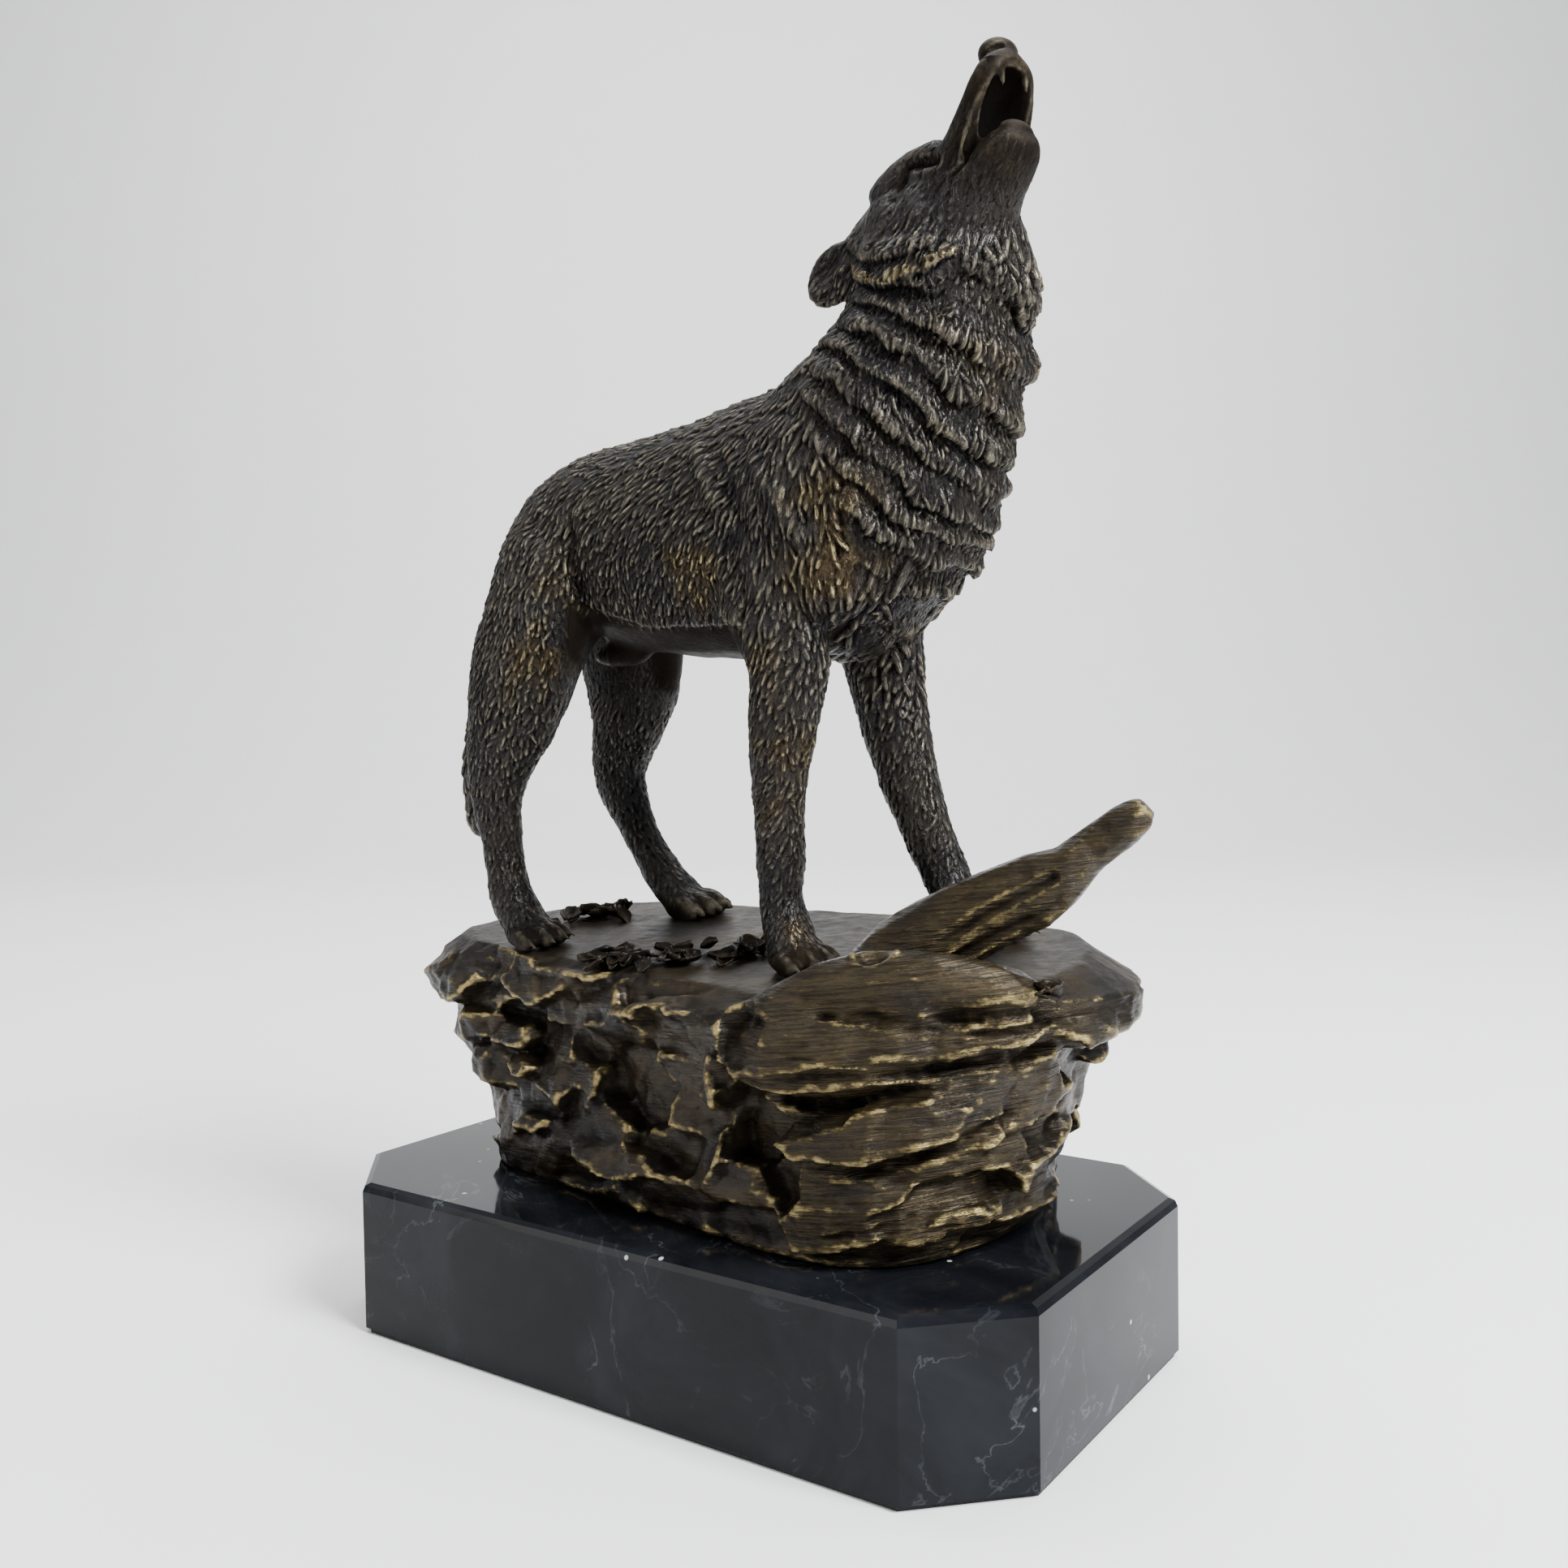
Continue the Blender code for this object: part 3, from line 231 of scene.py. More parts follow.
# Clay shapes that are fused into a skin
def ball(bm, centre, radii, turn=(0, 0, 0), place=Matrix()):
    spin = Euler([math.radians(a) for a in turn]).to_matrix().to_4x4()
    shape = place @ Matrix.Translation(centre) @ spin @ Matrix.Diagonal((*radii, 1))
    bmesh.ops.create_uvsphere(bm, u_segments=16, v_segments=10, radius=1, matrix=shape)


def rod(bm, path, radii, place=Matrix(), sides=8):
    """A round rod through the points, with its own radius at each, closed at both ends."""
    points = [place @ Vector(p) for p in path]
    rings = []
    for k, (point, radius) in enumerate(zip(points, radii)):
        way = (points[min(k + 1, len(points) - 1)] - points[max(k - 1, 0)]).normalized()
        side = way.orthogonal().normalized() if k == 0 else (side - way * side.dot(way)).normalized()
        other = way.cross(side)
        turns = [2 * math.pi * s / sides for s in range(sides)]
        spokes = [math.cos(t) * side + math.sin(t) * other for t in turns]
        rings.append([bm.verts.new(point + radius * spoke) for spoke in spokes])
    for low, high in zip(rings, rings[1:]):
        for s in range(sides):
            bm.faces.new((low[s], low[(s + 1) % sides], high[(s + 1) % sides], high[s]))
    bm.faces.new(rings[0][::-1])
    bm.faces.new(rings[-1])


def mirrored(path):
    return [(x, -y, z) for x, y, z in path]


def wolf_clay(bm):
    """Lips, nose, chin, brows, canines and tongue, then toes and claws."""
    rim = LIP + mirrored(LIP)[::-1]
    rod(bm, rim, [LIP_END_RADIUS] + [LIP_RADIUS] * (len(rim) - 2) + [LIP_END_RADIUS], HEAD_PLACE)
    ball(bm, (28.8, 0, 179.2), (3.6, 4.8, 2.9), (0, -20, 0), HEAD_PLACE)
    ball(bm, (33.4, 0, 162.9), (2.3, 4.6, 2.2), (0, -40, 0), HEAD_PLACE)
    for side in (-1, 1):
        brow = [(x, BROW_OFF_MIDDLE * side - BROW_CLOSING * side * x, z) for x, z, _ in BROW]
        rod(bm, brow, [radius for *_, radius in BROW], HEAD_PLACE, 16)
        canine = [(31.9, 3.3 * side, 176.6), (32.7, 3.3 * side, 173.8), (33.2, 3.1 * side, 170.6)]
        rod(bm, canine, CANINE_RADII, HEAD_PLACE)
    ball(bm, (26.5, 0, 160.4), (6.0, 3.4, 1.3), (0, -42, 0), HEAD_PLACE)
    for (x, y), heading, pitch in PAWS:
        slope = Euler((math.atan(TOP_FALL), math.radians(-pitch), math.radians(heading)))
        place = Matrix.Translation((x, y, TOP_FALL * y)) @ slope.to_matrix().to_4x4()
        for toe in (-1.5, -0.5, 0.5, 1.5):
            side = 3.6 * toe
            reach = 3.2 - 1.4 * toe * toe
            fan = 10.8 * toe
            ball(bm, (reach, side, 2.6), (4.4, 1.6, 2.5), (0, 14, fan), place)
            ball(bm, (reach + 2.6, side * 1.05, 1.9), (2.0, 1.75, 1.7), (0, 10, fan), place)
            claw_side = side + 0.4 * toe
            root, tip = (reach + 3.6, claw_side, 2.2), (reach + 6.4, claw_side * 1.05, 0.75)
            rod(bm, [root, (reach + 5.2, claw_side * 1.03, 1.7), tip], (0.75, 0.6, 0.25), place)


class Skin:
    """A fine copy of a CAD node's surface, with its points in drawn mm."""

    def __init__(self, node, voxel, rounds, rounded=False, clay=None):
        shape = bmesh.new()
        shape.from_mesh(cad_node(node).data)
        bmesh.ops.remove_doubles(shape, verts=shape.verts, dist=0.001 * MM)
        to_drawn = Matrix.Translation((0, 0, -ROCK_TOP)) @ Matrix.Scale(1 / MM, 4)
        bmesh.ops.transform(shape, verts=shape.verts, matrix=to_drawn)
        if clay:
            clay(shape)
        rough = bpy.data.meshes.new("work")
        shape.to_mesh(rough)
        shape.free()
        work = bpy.data.objects.new("work", rough)
        bpy.context.scene.collection.objects.link(work)
        if rounded:
            round_off = work.modifiers.new("round_off", "SUBSURF")
            round_off.levels = round_off.render_levels = 1
        remesh = work.modifiers.new("remesh", "REMESH")
        remesh.mode = "VOXEL"
        remesh.voxel_size = voxel
        soften = work.modifiers.new("soften", "SMOOTH")
        soften.factor = 0.5
        soften.iterations = rounds
        graph = bpy.context.evaluated_depsgraph_get()
        mesh = bpy.data.meshes.new_from_object(work.evaluated_get(graph))
        bpy.data.objects.remove(work)
        count = len(mesh.vertices)
        flat = np.empty(count * 3)
        mesh.vertices.foreach_get("co", flat)
        self.points = flat.reshape(-1, 3)
        flat = np.empty(len(mesh.edges) * 2, np.int64)
        mesh.edges.foreach_get("vertices", flat)
        self.edges = flat.reshape(-1, 2)
        sizes = np.empty(len(mesh.polygons), np.int64)
        mesh.polygons.foreach_get("loop_total", sizes)
        corners = np.empty(len(mesh.loops), np.int64)
        mesh.loops.foreach_get("vertex_index", corners)
        starts = np.concatenate([[0], np.cumsum(sizes)[:-1]])
        self.faces = np.stack([corners[starts + np.minimum(k, sizes - 1)] for k in range(4)], 1)
        self.degree = np.bincount(self.edges.ravel(), minlength=count).astype(float)
        bpy.data.meshes.remove(mesh)

    def normals(self, rounds=0):
        p, f = self.points, self.faces
        face = np.cross(p[f[:, 2]] - p[f[:, 0]], p[f[:, 3]] - p[f[:, 1]])
        total = np.zeros_like(p)
        for k in range(4):
            for axis in range(3):
                total[:, axis] += np.bincount(f[:, k], face[:, axis], len(p))
        return unit(self.relaxed(unit(total), rounds))

    def relaxed(self, values, rounds, share=0.6):
        values = np.array(values, float)
        columns = values.reshape(len(values), -1)
        a, b = self.edges.T
        for _ in range(rounds):
            for k in range(columns.shape[1]):
                column = columns[:, k]
                around = np.bincount(a, column[b], len(column))
                around += np.bincount(b, column[a], len(column))
                columns[:, k] += share * (around / self.degree - column)
        return values


def noise_at(points, size, seed=0, octaves=1):
    """Smooth noise from -1 to 1 at each point, in cells of the given size in mm."""
    moved = points / size + (17.3 * seed, 5.1 * seed, 9.7 * seed)
    if octaves == 1:
        return np.array([noise.noise(Vector(p)) for p in moved])
    return np.array([noise.fractal(Vector(p), 0.9, 2.1, octaves) for p in moved])


def distance_to_path(points, path):
    nearest = np.full(len(points), np.inf)
    for start, end in zip(path, path[1:]):
        run = np.subtract(end, start)
        share = np.clip((points - start) @ run / (run @ run), 0, 1)
        off = points - start - share[:, None] * run
        nearest = np.minimum(nearest, (off * off).sum(1))
    return np.sqrt(nearest)


def stroke_relief(points, strokes, place=Matrix()):
    """Rise and depth of modelling strokes, laid on both sides of the body or the head."""
    total = np.zeros(len(points))
    for path, reach, rise in strokes:
        for way in (path, mirrored(path)):
            placed = np.array([place @ Vector(p) for p in way])
            low, high = placed.min(0) - reach, placed.max(0) + reach
            near = np.flatnonzero(((points > low) & (points < high)).all(1))
            away = distance_to_path(points[near], placed)
            total[near] += rise * smoothstep(reach, 0, away)
    return total


def ruff_relief(points):
    """Rise of the ruff's rows over the cheeks, their lower edges, and the lower edge of the last row."""
    turned = (points - np.array(HEAD_PLACE.translation)) @ np.array(HEAD_PLACE.to_3x3())
    turned[:, 1] = -np.abs(turned[:, 1])
    rise, edge = np.zeros(len(points)), np.zeros(len(points))
    for path in RUFF_ROWS:
        flat = np.array(path)
        x = turned[:, 0]
        over = turned[:, 2] - np.interp(x, flat[:, 0], flat[:, 2])
        side = smoothstep(-2, 1, x - flat[0, 0]) * smoothstep(2, -1, x - flat[-1, 0])
        side = side * (np.abs(turned[:, 1] - np.interp(x, flat[:, 0], flat[:, 1])) < 6)
        row = smoothstep(-0.5, 0.3, over) * smoothstep(6.5, 0.6, over) * side
        rise = np.maximum(rise, row)
        rim = side * smoothstep(-0.2, 0.4, over) * smoothstep(3.2, 1.2, over)
        edge = np.maximum(edge, rim)
    return rise, edge, rim


def guided(points):
    """Direction, length, width and height of the fur at each point, from the guides."""
    rows = []
    for (x, y, z), (dx, dy, dz), length, width, height in FUR:
        for side in (1, -1) if y else (1,):
            rows.append((x, y * side, z, dx, dy * side, dz, length, width, height))
    total = np.full(len(points), 1e-12)
    mixed = np.zeros((len(points), 6))
    for row in np.array(rows):
        away = ((points - row[:3]) ** 2).sum(1)
        weight = np.exp(-away / (2 * GUIDE_REACH**2)) + 1e-9 / (away + 1)
        total += weight
        mixed += weight[:, None] * row[3:]
    mixed /= total[:, None]
    return unit(mixed[:, :3]), mixed[:, 3], mixed[:, 4], mixed[:, 5]


def row_phase(points, wander=0):
    """How far down its row of the mane each point lies, from 0 at the top to 1 at the lower edge."""
    x, y, z = points.T
    away = np.linalg.norm(np.stack([x, np.abs(y), z], 1) - RUFF_PLACE, axis=1)
    level = z + np.interp(z, *zip(*ROW_SLOPES)) * (x - ROW_MIDDLE)
    level += ROW_WAVE * noise_at(points, ROW_WAVE_REACH) + wander
    level += RUFF_HANG * np.exp(-0.5 * (away / RUFF_SPREAD) ** 2)
    return np.mod(-level / ROW_STEP, 1.0)


def mane_share(points):
    x, y, z = points.T
    share = smoothstep(-2.5, 2.5, x - np.interp(z, *zip(*MANE_BACK_EDGE)))
    share *= smoothstep(62, 67, z) * (1 - smoothstep(142, 148, z + 0.25 * (x - ROW_MIDDLE)))
    leg = smoothstep(9, 12, np.abs(y)) * (1 - smoothstep(76, 84, z))
    return share * (1 - leg)


def bare_belly(points):
    """1 on the bare belly, below the edge of the flank's fur."""
    x, y, z = points.T
    between_legs = smoothstep(-39, -34, x) * smoothstep(21, 17, x)
    return between_legs * smoothstep(0.5, -0.5, z - np.interp(x, *zip(*BELLY_EDGE))) * smoothstep(56, 60, z)


def mouth_share(points):
    """1 deep inside the open mouth."""
    x, y, z = np.array(HEAD_PLACE.inverted().to_3x3()) @ (points - np.array(HEAD_PLACE.translation)).T
    from_lips = MOUTH_LEAN * (z - MOUTH_LIP_FOOT) + MOUTH_X - x
    within = smoothstep(0.3, 1.8, from_lips) * (from_lips < MOUTH_DEPTH)
    within = within * (np.abs(y) < MOUTH_HALF_WIDTH) * (z > MOUTH_LOW) * (z < MOUTH_HIGH)
    corner = distance_to_path(np.stack([x, -np.abs(y), z], 1), MOUTH_CORNER)
    return np.maximum(within, smoothstep(1.5, 0.7, corner))


def scatter(points, spacing, order, keep):
    """Indices of points at least the given spacing apart, taken in a fixed random order."""
    cell = spacing[keep].max()
    homes = np.floor(points / cell).astype(int)
    steps = [(i, j, k) for i in (-1, 0, 1) for j in (-1, 0, 1) for k in (-1, 0, 1)]
    taken, chosen = {}, []
    for i in order[keep[order]]:
        p, home = points[i], homes[i]
        cells = [(home[0] + a, home[1] + b, home[2] + c) for a, b, c in steps]
        near = [j for place in cells for j in taken.get(place, ())]
        if near and ((points[near] - p) ** 2).sum(1).min() < spacing[i] ** 2:
            continue
        taken.setdefault(tuple(home), []).append(i)
        chosen.append(i)
    return chosen


class Coat:
    """Locks of fur laid over a skin: their relief, and coordinates along and across each lock."""

    def __init__(self, points, normals, flow, rng):
        self.points, self.normals, self.flow, self.rng = points, normals, flow, rng
        self.tree = kdtree.KDTree(len(points))
        for i, p in enumerate(points):
            self.tree.insert(p, i)
        self.tree.balance()
        self.relief = np.zeros(len(points))
        self.tip = np.zeros(len(points))
        self.hair = np.zeros((len(points), 3))

    def lay(self, centres, length, width, height, spread, ribs):
        """One lock at each centre: low at its root, highest just before its pointed tip."""
        for i in centres:
            n = self.normals[i]
            along = self.flow[i] - n * self.flow[i].dot(n)
            size = math.sqrt(along.dot(along))
            if size < 0.15:
                continue
            along /= size
            across = np.cross(n, along)
            turn = self.rng.normal(0, spread)
            along, across = (
                along * math.cos(turn) + across * math.sin(turn),
                across * math.cos(turn) - along * math.sin(turn),
            )
            long = length[i] * self.rng.uniform(0.65, 1.35)
            wide = width[i] * self.rng.uniform(0.6, 1.3)
            found = self.tree.find_range(Vector(self.points[i]), long * 0.62)
            near = np.array([hit[1] for hit in found])
            away = self.points[near] - self.points[i]
            u = away @ along / long
            side = away @ across / wide + self.rng.uniform(-0.9, 0.9) * u * u
            ok = (np.abs(u) < 0.5) & (np.abs(side) < 0.7) & (self.normals[near] @ n > 0.2)
            u, side, near = u[ok], side[ok], near[ok]
            half = 0.5 * np.sqrt(np.clip(1 - ((u - 0.02) / 0.5) ** 2, 0, 1)) * (1 - 0.45 * (u + 0.5)) + 0.02
            cross = np.clip(1 - (side / (half * 1.3)) ** 2, 0, 1)
            rise = np.clip((u + 0.5) / 0.8, 0, 1) ** 0.8 * (1 - np.clip((u - 0.3) / 0.2, 0, 1) ** 2)
            value = height[i] * self.rng.uniform(0.5, 1.4) * rise * np.sqrt(cross)
            value *= 1 - 0.22 * (1 - np.cos(2 * math.pi * ribs * side)) * (ribs > 0)
            better = value > self.relief[near]
            target = near[better]
            self.relief[target] = value[better]
            self.tip[target] = (rise * cross)[better]
            start = self.rng.uniform(0, 9)
            coordinates = (side[better] * wide + start, u[better] * long, np.full(len(target), start))
            self.hair[target] = np.stack(coordinates, 1)


def build_object(name, skin, split, attributes, material):
    """Split the skin into closed pieces, with one run of smooth normals over all of them."""
    normals = skin.normals()
    centres = skin.points[skin.faces].mean(1)
    for label, mask in split(centres):
        faces = skin.faces[mask]
        used = np.unique(faces)
        remap = np.full(len(skin.points), -1)
        remap[used] = np.arange(len(used))
        mesh = bpy.data.meshes.new(f"{name}_{label}")
        coords = (skin.points[used] + (0, 0, ROCK_TOP)) * MM
        rows = [(a, b, c) if c == d else (a, b, c, d) for a, b, c, d in remap[faces].tolist()]
        mesh.from_pydata(coords.tolist(), [], rows)
        shape = bmesh.new()
        shape.from_mesh(mesh)
        rim = [e for e in shape.edges if e.is_boundary]
        if rim:
            bmesh.ops.holes_fill(shape, edges=rim, sides=0)
        shape.to_mesh(mesh)
        shape.free()
        mesh.polygons.foreach_set("use_smooth", [True] * len(mesh.polygons))
        for key, values in attributes.items():
            kind = "FLOAT" if values.ndim == 1 else "FLOAT_VECTOR"
            layer = mesh.attributes.new(key, kind, "POINT")
            slot_name = "value" if values.ndim == 1 else "vector"
            layer.data.foreach_set(slot_name, np.ascontiguousarray(values[used], np.float32).ravel())
        mesh.normals_split_custom_set_from_vertices(normals[used].tolist())
        dress(bpy.data.objects.new(f"{name}_{label}", mesh), material, name)


def dress(piece, material, node=None):
    piece.data.materials.append(material)
    bpy.context.scene.collection.objects.link(piece)
    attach(piece, "root")
    if node:
        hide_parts(node)


def relief_marks(skin, rounds=(5, 20), reach=(0.2, 0.7)):
    """How far each point stands out of or lies below the surface round it, from 0 to 1."""
    normals = skin.normals()
    edge, cave = np.zeros(len(skin.points)), np.zeros(len(skin.points))
    for turns, size in zip(rounds, reach):
        out = ((skin.points - skin.relaxed(skin.points, turns)) * normals).sum(1)
        edge = np.maximum(edge, np.clip(out / size, 0, 1))
        cave = np.maximum(cave, np.clip(-out / size, 0, 1))
    return edge, cave


# Materials
class Nodes:
    """A few short calls that wire up a material."""

    def __init__(self, name):
        self.material = bpy.data.materials.new(name)
        self.material.use_nodes = True
        self.tree = self.material.node_tree
        self.shader = self.tree.nodes["Principled BSDF"]

    def put(self, kind, **settings):
        node = self.tree.nodes.new("ShaderNode" + kind)
        for key, value in settings.items():
            setattr(node, key, value)
        return node

    def join(self, source, target, name):
        self.tree.links.new(source, target.inputs[name])

    def value(self, target, name, value):
        if isinstance(value, bpy.types.NodeSocket):
            self.join(value, target, name)
        else:
            target.inputs[name].default_value = value

    def attribute(self, name, output="Fac"):
        return self.put("Attribute", attribute_name=name).outputs[output]

    def place(self, scale=(1, 1, 1), turn=(0, 0, 0), source=None):
        """Object coordinates in mm, turned and stretched; or an attribute's own mm."""
        unit_size = MM if source is None else 1.0
        where = self.put("TexCoord").outputs["Object"] if source is None else source
        mapping = self.put("Mapping", vector_type="TEXTURE")
        self.join(where, mapping, "Vector")
        mapping.inputs["Rotation"].default_value = [math.radians(t) for t in turn]
        mapping.inputs["Scale"].default_value = [unit_size * s for s in scale]
        return mapping.outputs["Vector"]

    def noise(self, where, detail, rough=0.55, distortion=0.0):
        """Cloudy noise, whose lumps have the size that the place's scale gives."""
        node = self.put("TexNoise")
        self.join(where, node, "Vector")
        settings = {"Scale": 1.0, "Detail": detail, "Roughness": rough, "Distortion": distortion}
        for key, value in settings.items():
            node.inputs[key].default_value = value
        return node.outputs["Fac"]

    def cells(self, where):
        """Distance to the nearest of some scattered points."""
        node = self.put("TexVoronoi", feature="F1")
        self.join(where, node, "Vector")
        node.inputs["Scale"].default_value = 1.0
        return node.outputs["Distance"]

    def math(self, kind, a, b=0.0, clamp=False):
        node = self.put("Math", operation=kind, use_clamp=clamp)
        for key, value in ((0, a), (1, b)):
            self.value(node, key, value)
        return node.outputs[0]

    def ramp(self, value, low, high, a=0.0, b=1.0):
        node = self.put("MapRange", interpolation_type="SMOOTHSTEP")
        settings = {"Value": value, "From Min": low, "From Max": high, "To Min": a, "To Max": b}
        for key, item in settings.items():
            self.value(node, key, item)
        return node.outputs[0]

    def mix(self, share, a, b):
        node = self.put("Mix", data_type="RGBA")
        for key, item in ((0, share), (6, a), (7, b)):
            if isinstance(item, tuple):
                item = (*item, 1.0)
            self.value(node, key, item)
        return node.outputs[2]

    def bump(self, height, distance, strength=1.0, base=None):
        node = self.put("Bump")
        node.inputs["Distance"].default_value = distance * MM
        node.inputs["Strength"].default_value = strength
        self.join(height, node, "Height")
        if base is not None:
            self.join(base, node, "Normal")
        return node.outputs[0]

    def finish(self, **sockets):
        for name, value in sockets.items():
            self.value(self.shader, name.replace("_", " "), value)
        return self.material


def bronze_fur():
    m = Nodes("patinated_bronze_fur")
    coat, tip = m.attribute("coat"), m.attribute("tip")
    edge, cave, rub = (m.attribute(k) for k in ("edge", "cave", "rub"))
    hair = m.attribute("hair", "Vector")
    strand = m.noise(m.place((0.42, 3.0, 1.0), source=hair), 2.0, 0.6, 0.4)
    groove = m.ramp(strand, 0.38, 0.56)
    in_lock = m.ramp(tip, 0.02, 0.3)
    height = m.math("MULTIPLY", m.math("MULTIPLY", m.ramp(groove, 0, 1, 0.35, 1.0), in_lock), coat)
    grain = m.noise(m.place((0.35, 0.35, 0.35)), 3.0, 0.6)
    pits = m.ramp(m.noise(m.place((0.9, 0.9, 0.9)), 2.0, 0.5), 0.35, 0.6)
    bump = m.bump(height, 0.75, 1.0)
    bump = m.bump(pits, 0.06, 0.6, bump)
    bump = m.bump(grain, 0.03, 0.5, bump)
    patches = m.noise(m.place((14, 14, 14)), 4.0, 0.6)
    fine = m.noise(m.place((1.4, 1.4, 1.4)), 3.0, 0.6)
    dark = m.mix(m.ramp(patches, 0.35, 0.7), (0.0085, 0.0072, 0.0074), (0.0190, 0.0150, 0.0112))
    dark = m.mix(m.ramp(coat, 0.1, 0.5, 0.8, 0.0), dark, (0.0090, 0.0063, 0.0042))
    lit = m.mix(m.ramp(fine, 0.3, 0.7), (0.075, 0.066, 0.050), (0.165, 0.143, 0.102))
    raised = m.math("MAXIMUM", m.ramp(height, 0.15, 0.8, 0.08, 1.0), m.ramp(coat, 0.1, 0.5, 0.6, 0.0))
    top = m.math("MULTIPLY", m.ramp(edge, 0.1, 0.85), raised)
    colour = m.mix(top, dark, lit)
    brown = m.mix(m.ramp(fine, 0.35, 0.65), (0.030, 0.021, 0.012), (0.075, 0.055, 0.029))
    gold = m.mix(m.ramp(fine, 0.35, 0.65), (0.190, 0.147, 0.074), (0.340, 0.285, 0.158))
    spots = m.ramp(m.noise(m.place((5, 5, 7)), 3.0, 0.6), 0.38, 0.62)
    worn = m.math("MULTIPLY", m.ramp(rub, 0.12, 0.8), m.ramp(spots, 0, 1, 0.45, 1.0))
    colour = m.mix(m.math("MULTIPLY", worn, 0.9), colour, brown)
    colour = m.mix(m.math("MULTIPLY", worn, m.ramp(top, 0.15, 0.8)), colour, gold)
    deep = m.math("MULTIPLY", m.math("MAXIMUM", cave, m.ramp(height, 0.3, 0.0, 0.0, 0.7)), 0.9)
    shade = m.math("MULTIPLY", deep, m.ramp(coat, 0.1, 0.5, 0.55, 1.0))
    colour = m.mix(shade, colour, (0.0045, 0.0038, 0.0035))
    # Painted shade: the inside of the open mouth is darkened to near black and made rough, so it reads as a
    # shadowed cavity
    inside = m.attribute("inside")
    colour = m.mix(m.math("MULTIPLY", inside, 0.93), colour, (0.003, 0.0025, 0.0022))
    rough = m.math("ADD", m.ramp(fine, 0.2, 0.8, 0.30, 0.44), m.math("MULTIPLY", deep, 0.25))
    rough = m.math("ADD", rough, m.math("MULTIPLY", inside, 0.4), True)
    metal = m.ramp(worn, 0.0, 0.8, 0.35, 0.8)
    sheen = m.math("MULTIPLY", m.ramp(deep, 0.0, 0.7, 0.26, 0.03), m.ramp(coat, 0.1, 0.5, 0.38, 1.0))
    return m.finish(Base_Color=colour, Metallic=metal, Roughness=rough, Normal=bump, Specular_IOR_Level=sheen)


def bronze_rock():
    m = Nodes("patinated_bronze_rock")
    edge, cave, top, wood = (m.attribute(k) for k in ("edge", "cave", "top", "wood"))
    grain = m.noise(m.place((9, 9, 0.55), (0, -6, 0)), 4.0, 0.6, 0.4)
    chips = m.noise(m.place((2.4, 2.4, 1.3)), 4.0, 0.6)
    fine = m.noise(m.place((0.5, 0.5, 0.5)), 3.0, 0.6)
    scratch = m.noise(m.place((6, 0.4, 0.4), (0, 0, 12)), 3.0, 0.6)
    strength = m.math("MULTIPLY", m.ramp(wood, 0, 1, 0.25, 1.0), m.math("SUBTRACT", 1.0, top))
    bump = m.bump(m.math("MULTIPLY", grain, strength), 0.9, 0.9)
    bump = m.bump(m.math("MULTIPLY", scratch, top), 0.25, 0.6, bump)
    bump = m.bump(chips, 0.3, 0.6, bump)
    bump = m.bump(fine, 0.04, 0.5, bump)
    patches = m.noise(m.place((20, 20, 11)), 3.0, 0.6)
    dark = m.mix(m.ramp(patches, 0.35, 0.65), (0.0095, 0.0080, 0.0070), (0.026, 0.0185, 0.0100))
    warm = m.mix(m.ramp(grain, 0.35, 0.65), (0.0135, 0.0098, 0.0052), (0.038, 0.0270, 0.0120))
    body = m.mix(m.math("MULTIPLY", m.ramp(patches, 0.3, 0.6, 0.35, 1.0), wood), dark, warm)
    worn = m.math("ADD", edge, m.math("MULTIPLY", m.ramp(grain, 0.58, 0.78, 0.0, 0.26), wood))
    worn = m.math("MULTIPLY", worn, m.ramp(chips, 0.3, 0.65, 0.55, 1.15))
    colour = m.mix(m.ramp(worn, 0.3, 1.2), body, (0.285, 0.222, 0.100))
    # Painted shade: the hollows of the rock and driftwood are darkened towards near black
    colour = m.mix(m.math("MULTIPLY", cave, 0.9), colour, (0.005, 0.004, 0.0035))
    rough = m.math("ADD", m.ramp(chips, 0.2, 0.8, 0.30, 0.44), m.math("MULTIPLY", top, 0.07))
    metal = m.ramp(worn, 0.0, 0.8, 0.55, 0.9)
    sheen = m.math("MULTIPLY", m.ramp(cave, 0.0, 0.7, 0.28, 0.04), m.ramp(top, 0, 1, 1.0, 0.42))
    return m.finish(Base_Color=colour, Metallic=metal, Roughness=rough, Normal=bump, Specular_IOR_Level=sheen)


def black_marble():
    m = Nodes("black_marble_polished")
    cloud = m.noise(m.place((30, 30, 30)), 6.0, 0.6, 0.8)
    warp = m.noise(m.place((26, 40, 30), (20, 10, 35)), 7.0, 0.55, 1.4)
    vein = m.ramp(m.math("ABSOLUTE", m.math("SUBTRACT", warp, 0.5)), 0.0, 0.012, 1.0, 0.0)
    vein = m.math("MULTIPLY", vein, m.ramp(cloud, 0.45, 0.7))
    fleck = m.ramp(m.cells(m.place((11, 11, 11))), 0.03, 0.06, 1.0, 0.0)
    body = m.mix(m.ramp(cloud, 0.35, 0.75), (0.0028, 0.0032, 0.0042), (0.0095, 0.0105, 0.0130))
    body = m.mix(m.math("MULTIPLY", vein, 0.35), body, (0.12, 0.13, 0.14))
    body = m.mix(m.math("MULTIPLY", fleck, 0.8), body, (0.45, 0.46, 0.46))
    wave = m.noise(m.place((18, 18, 18)), 2.0)
    rough = m.ramp(cloud, 0.3, 0.8, 0.05, 0.12)
    normal = m.bump(wave, 0.05, 0.3)
    return m.finish(Base_Color=body, Roughness=rough, Specular_IOR_Level=0.11, Normal=normal)


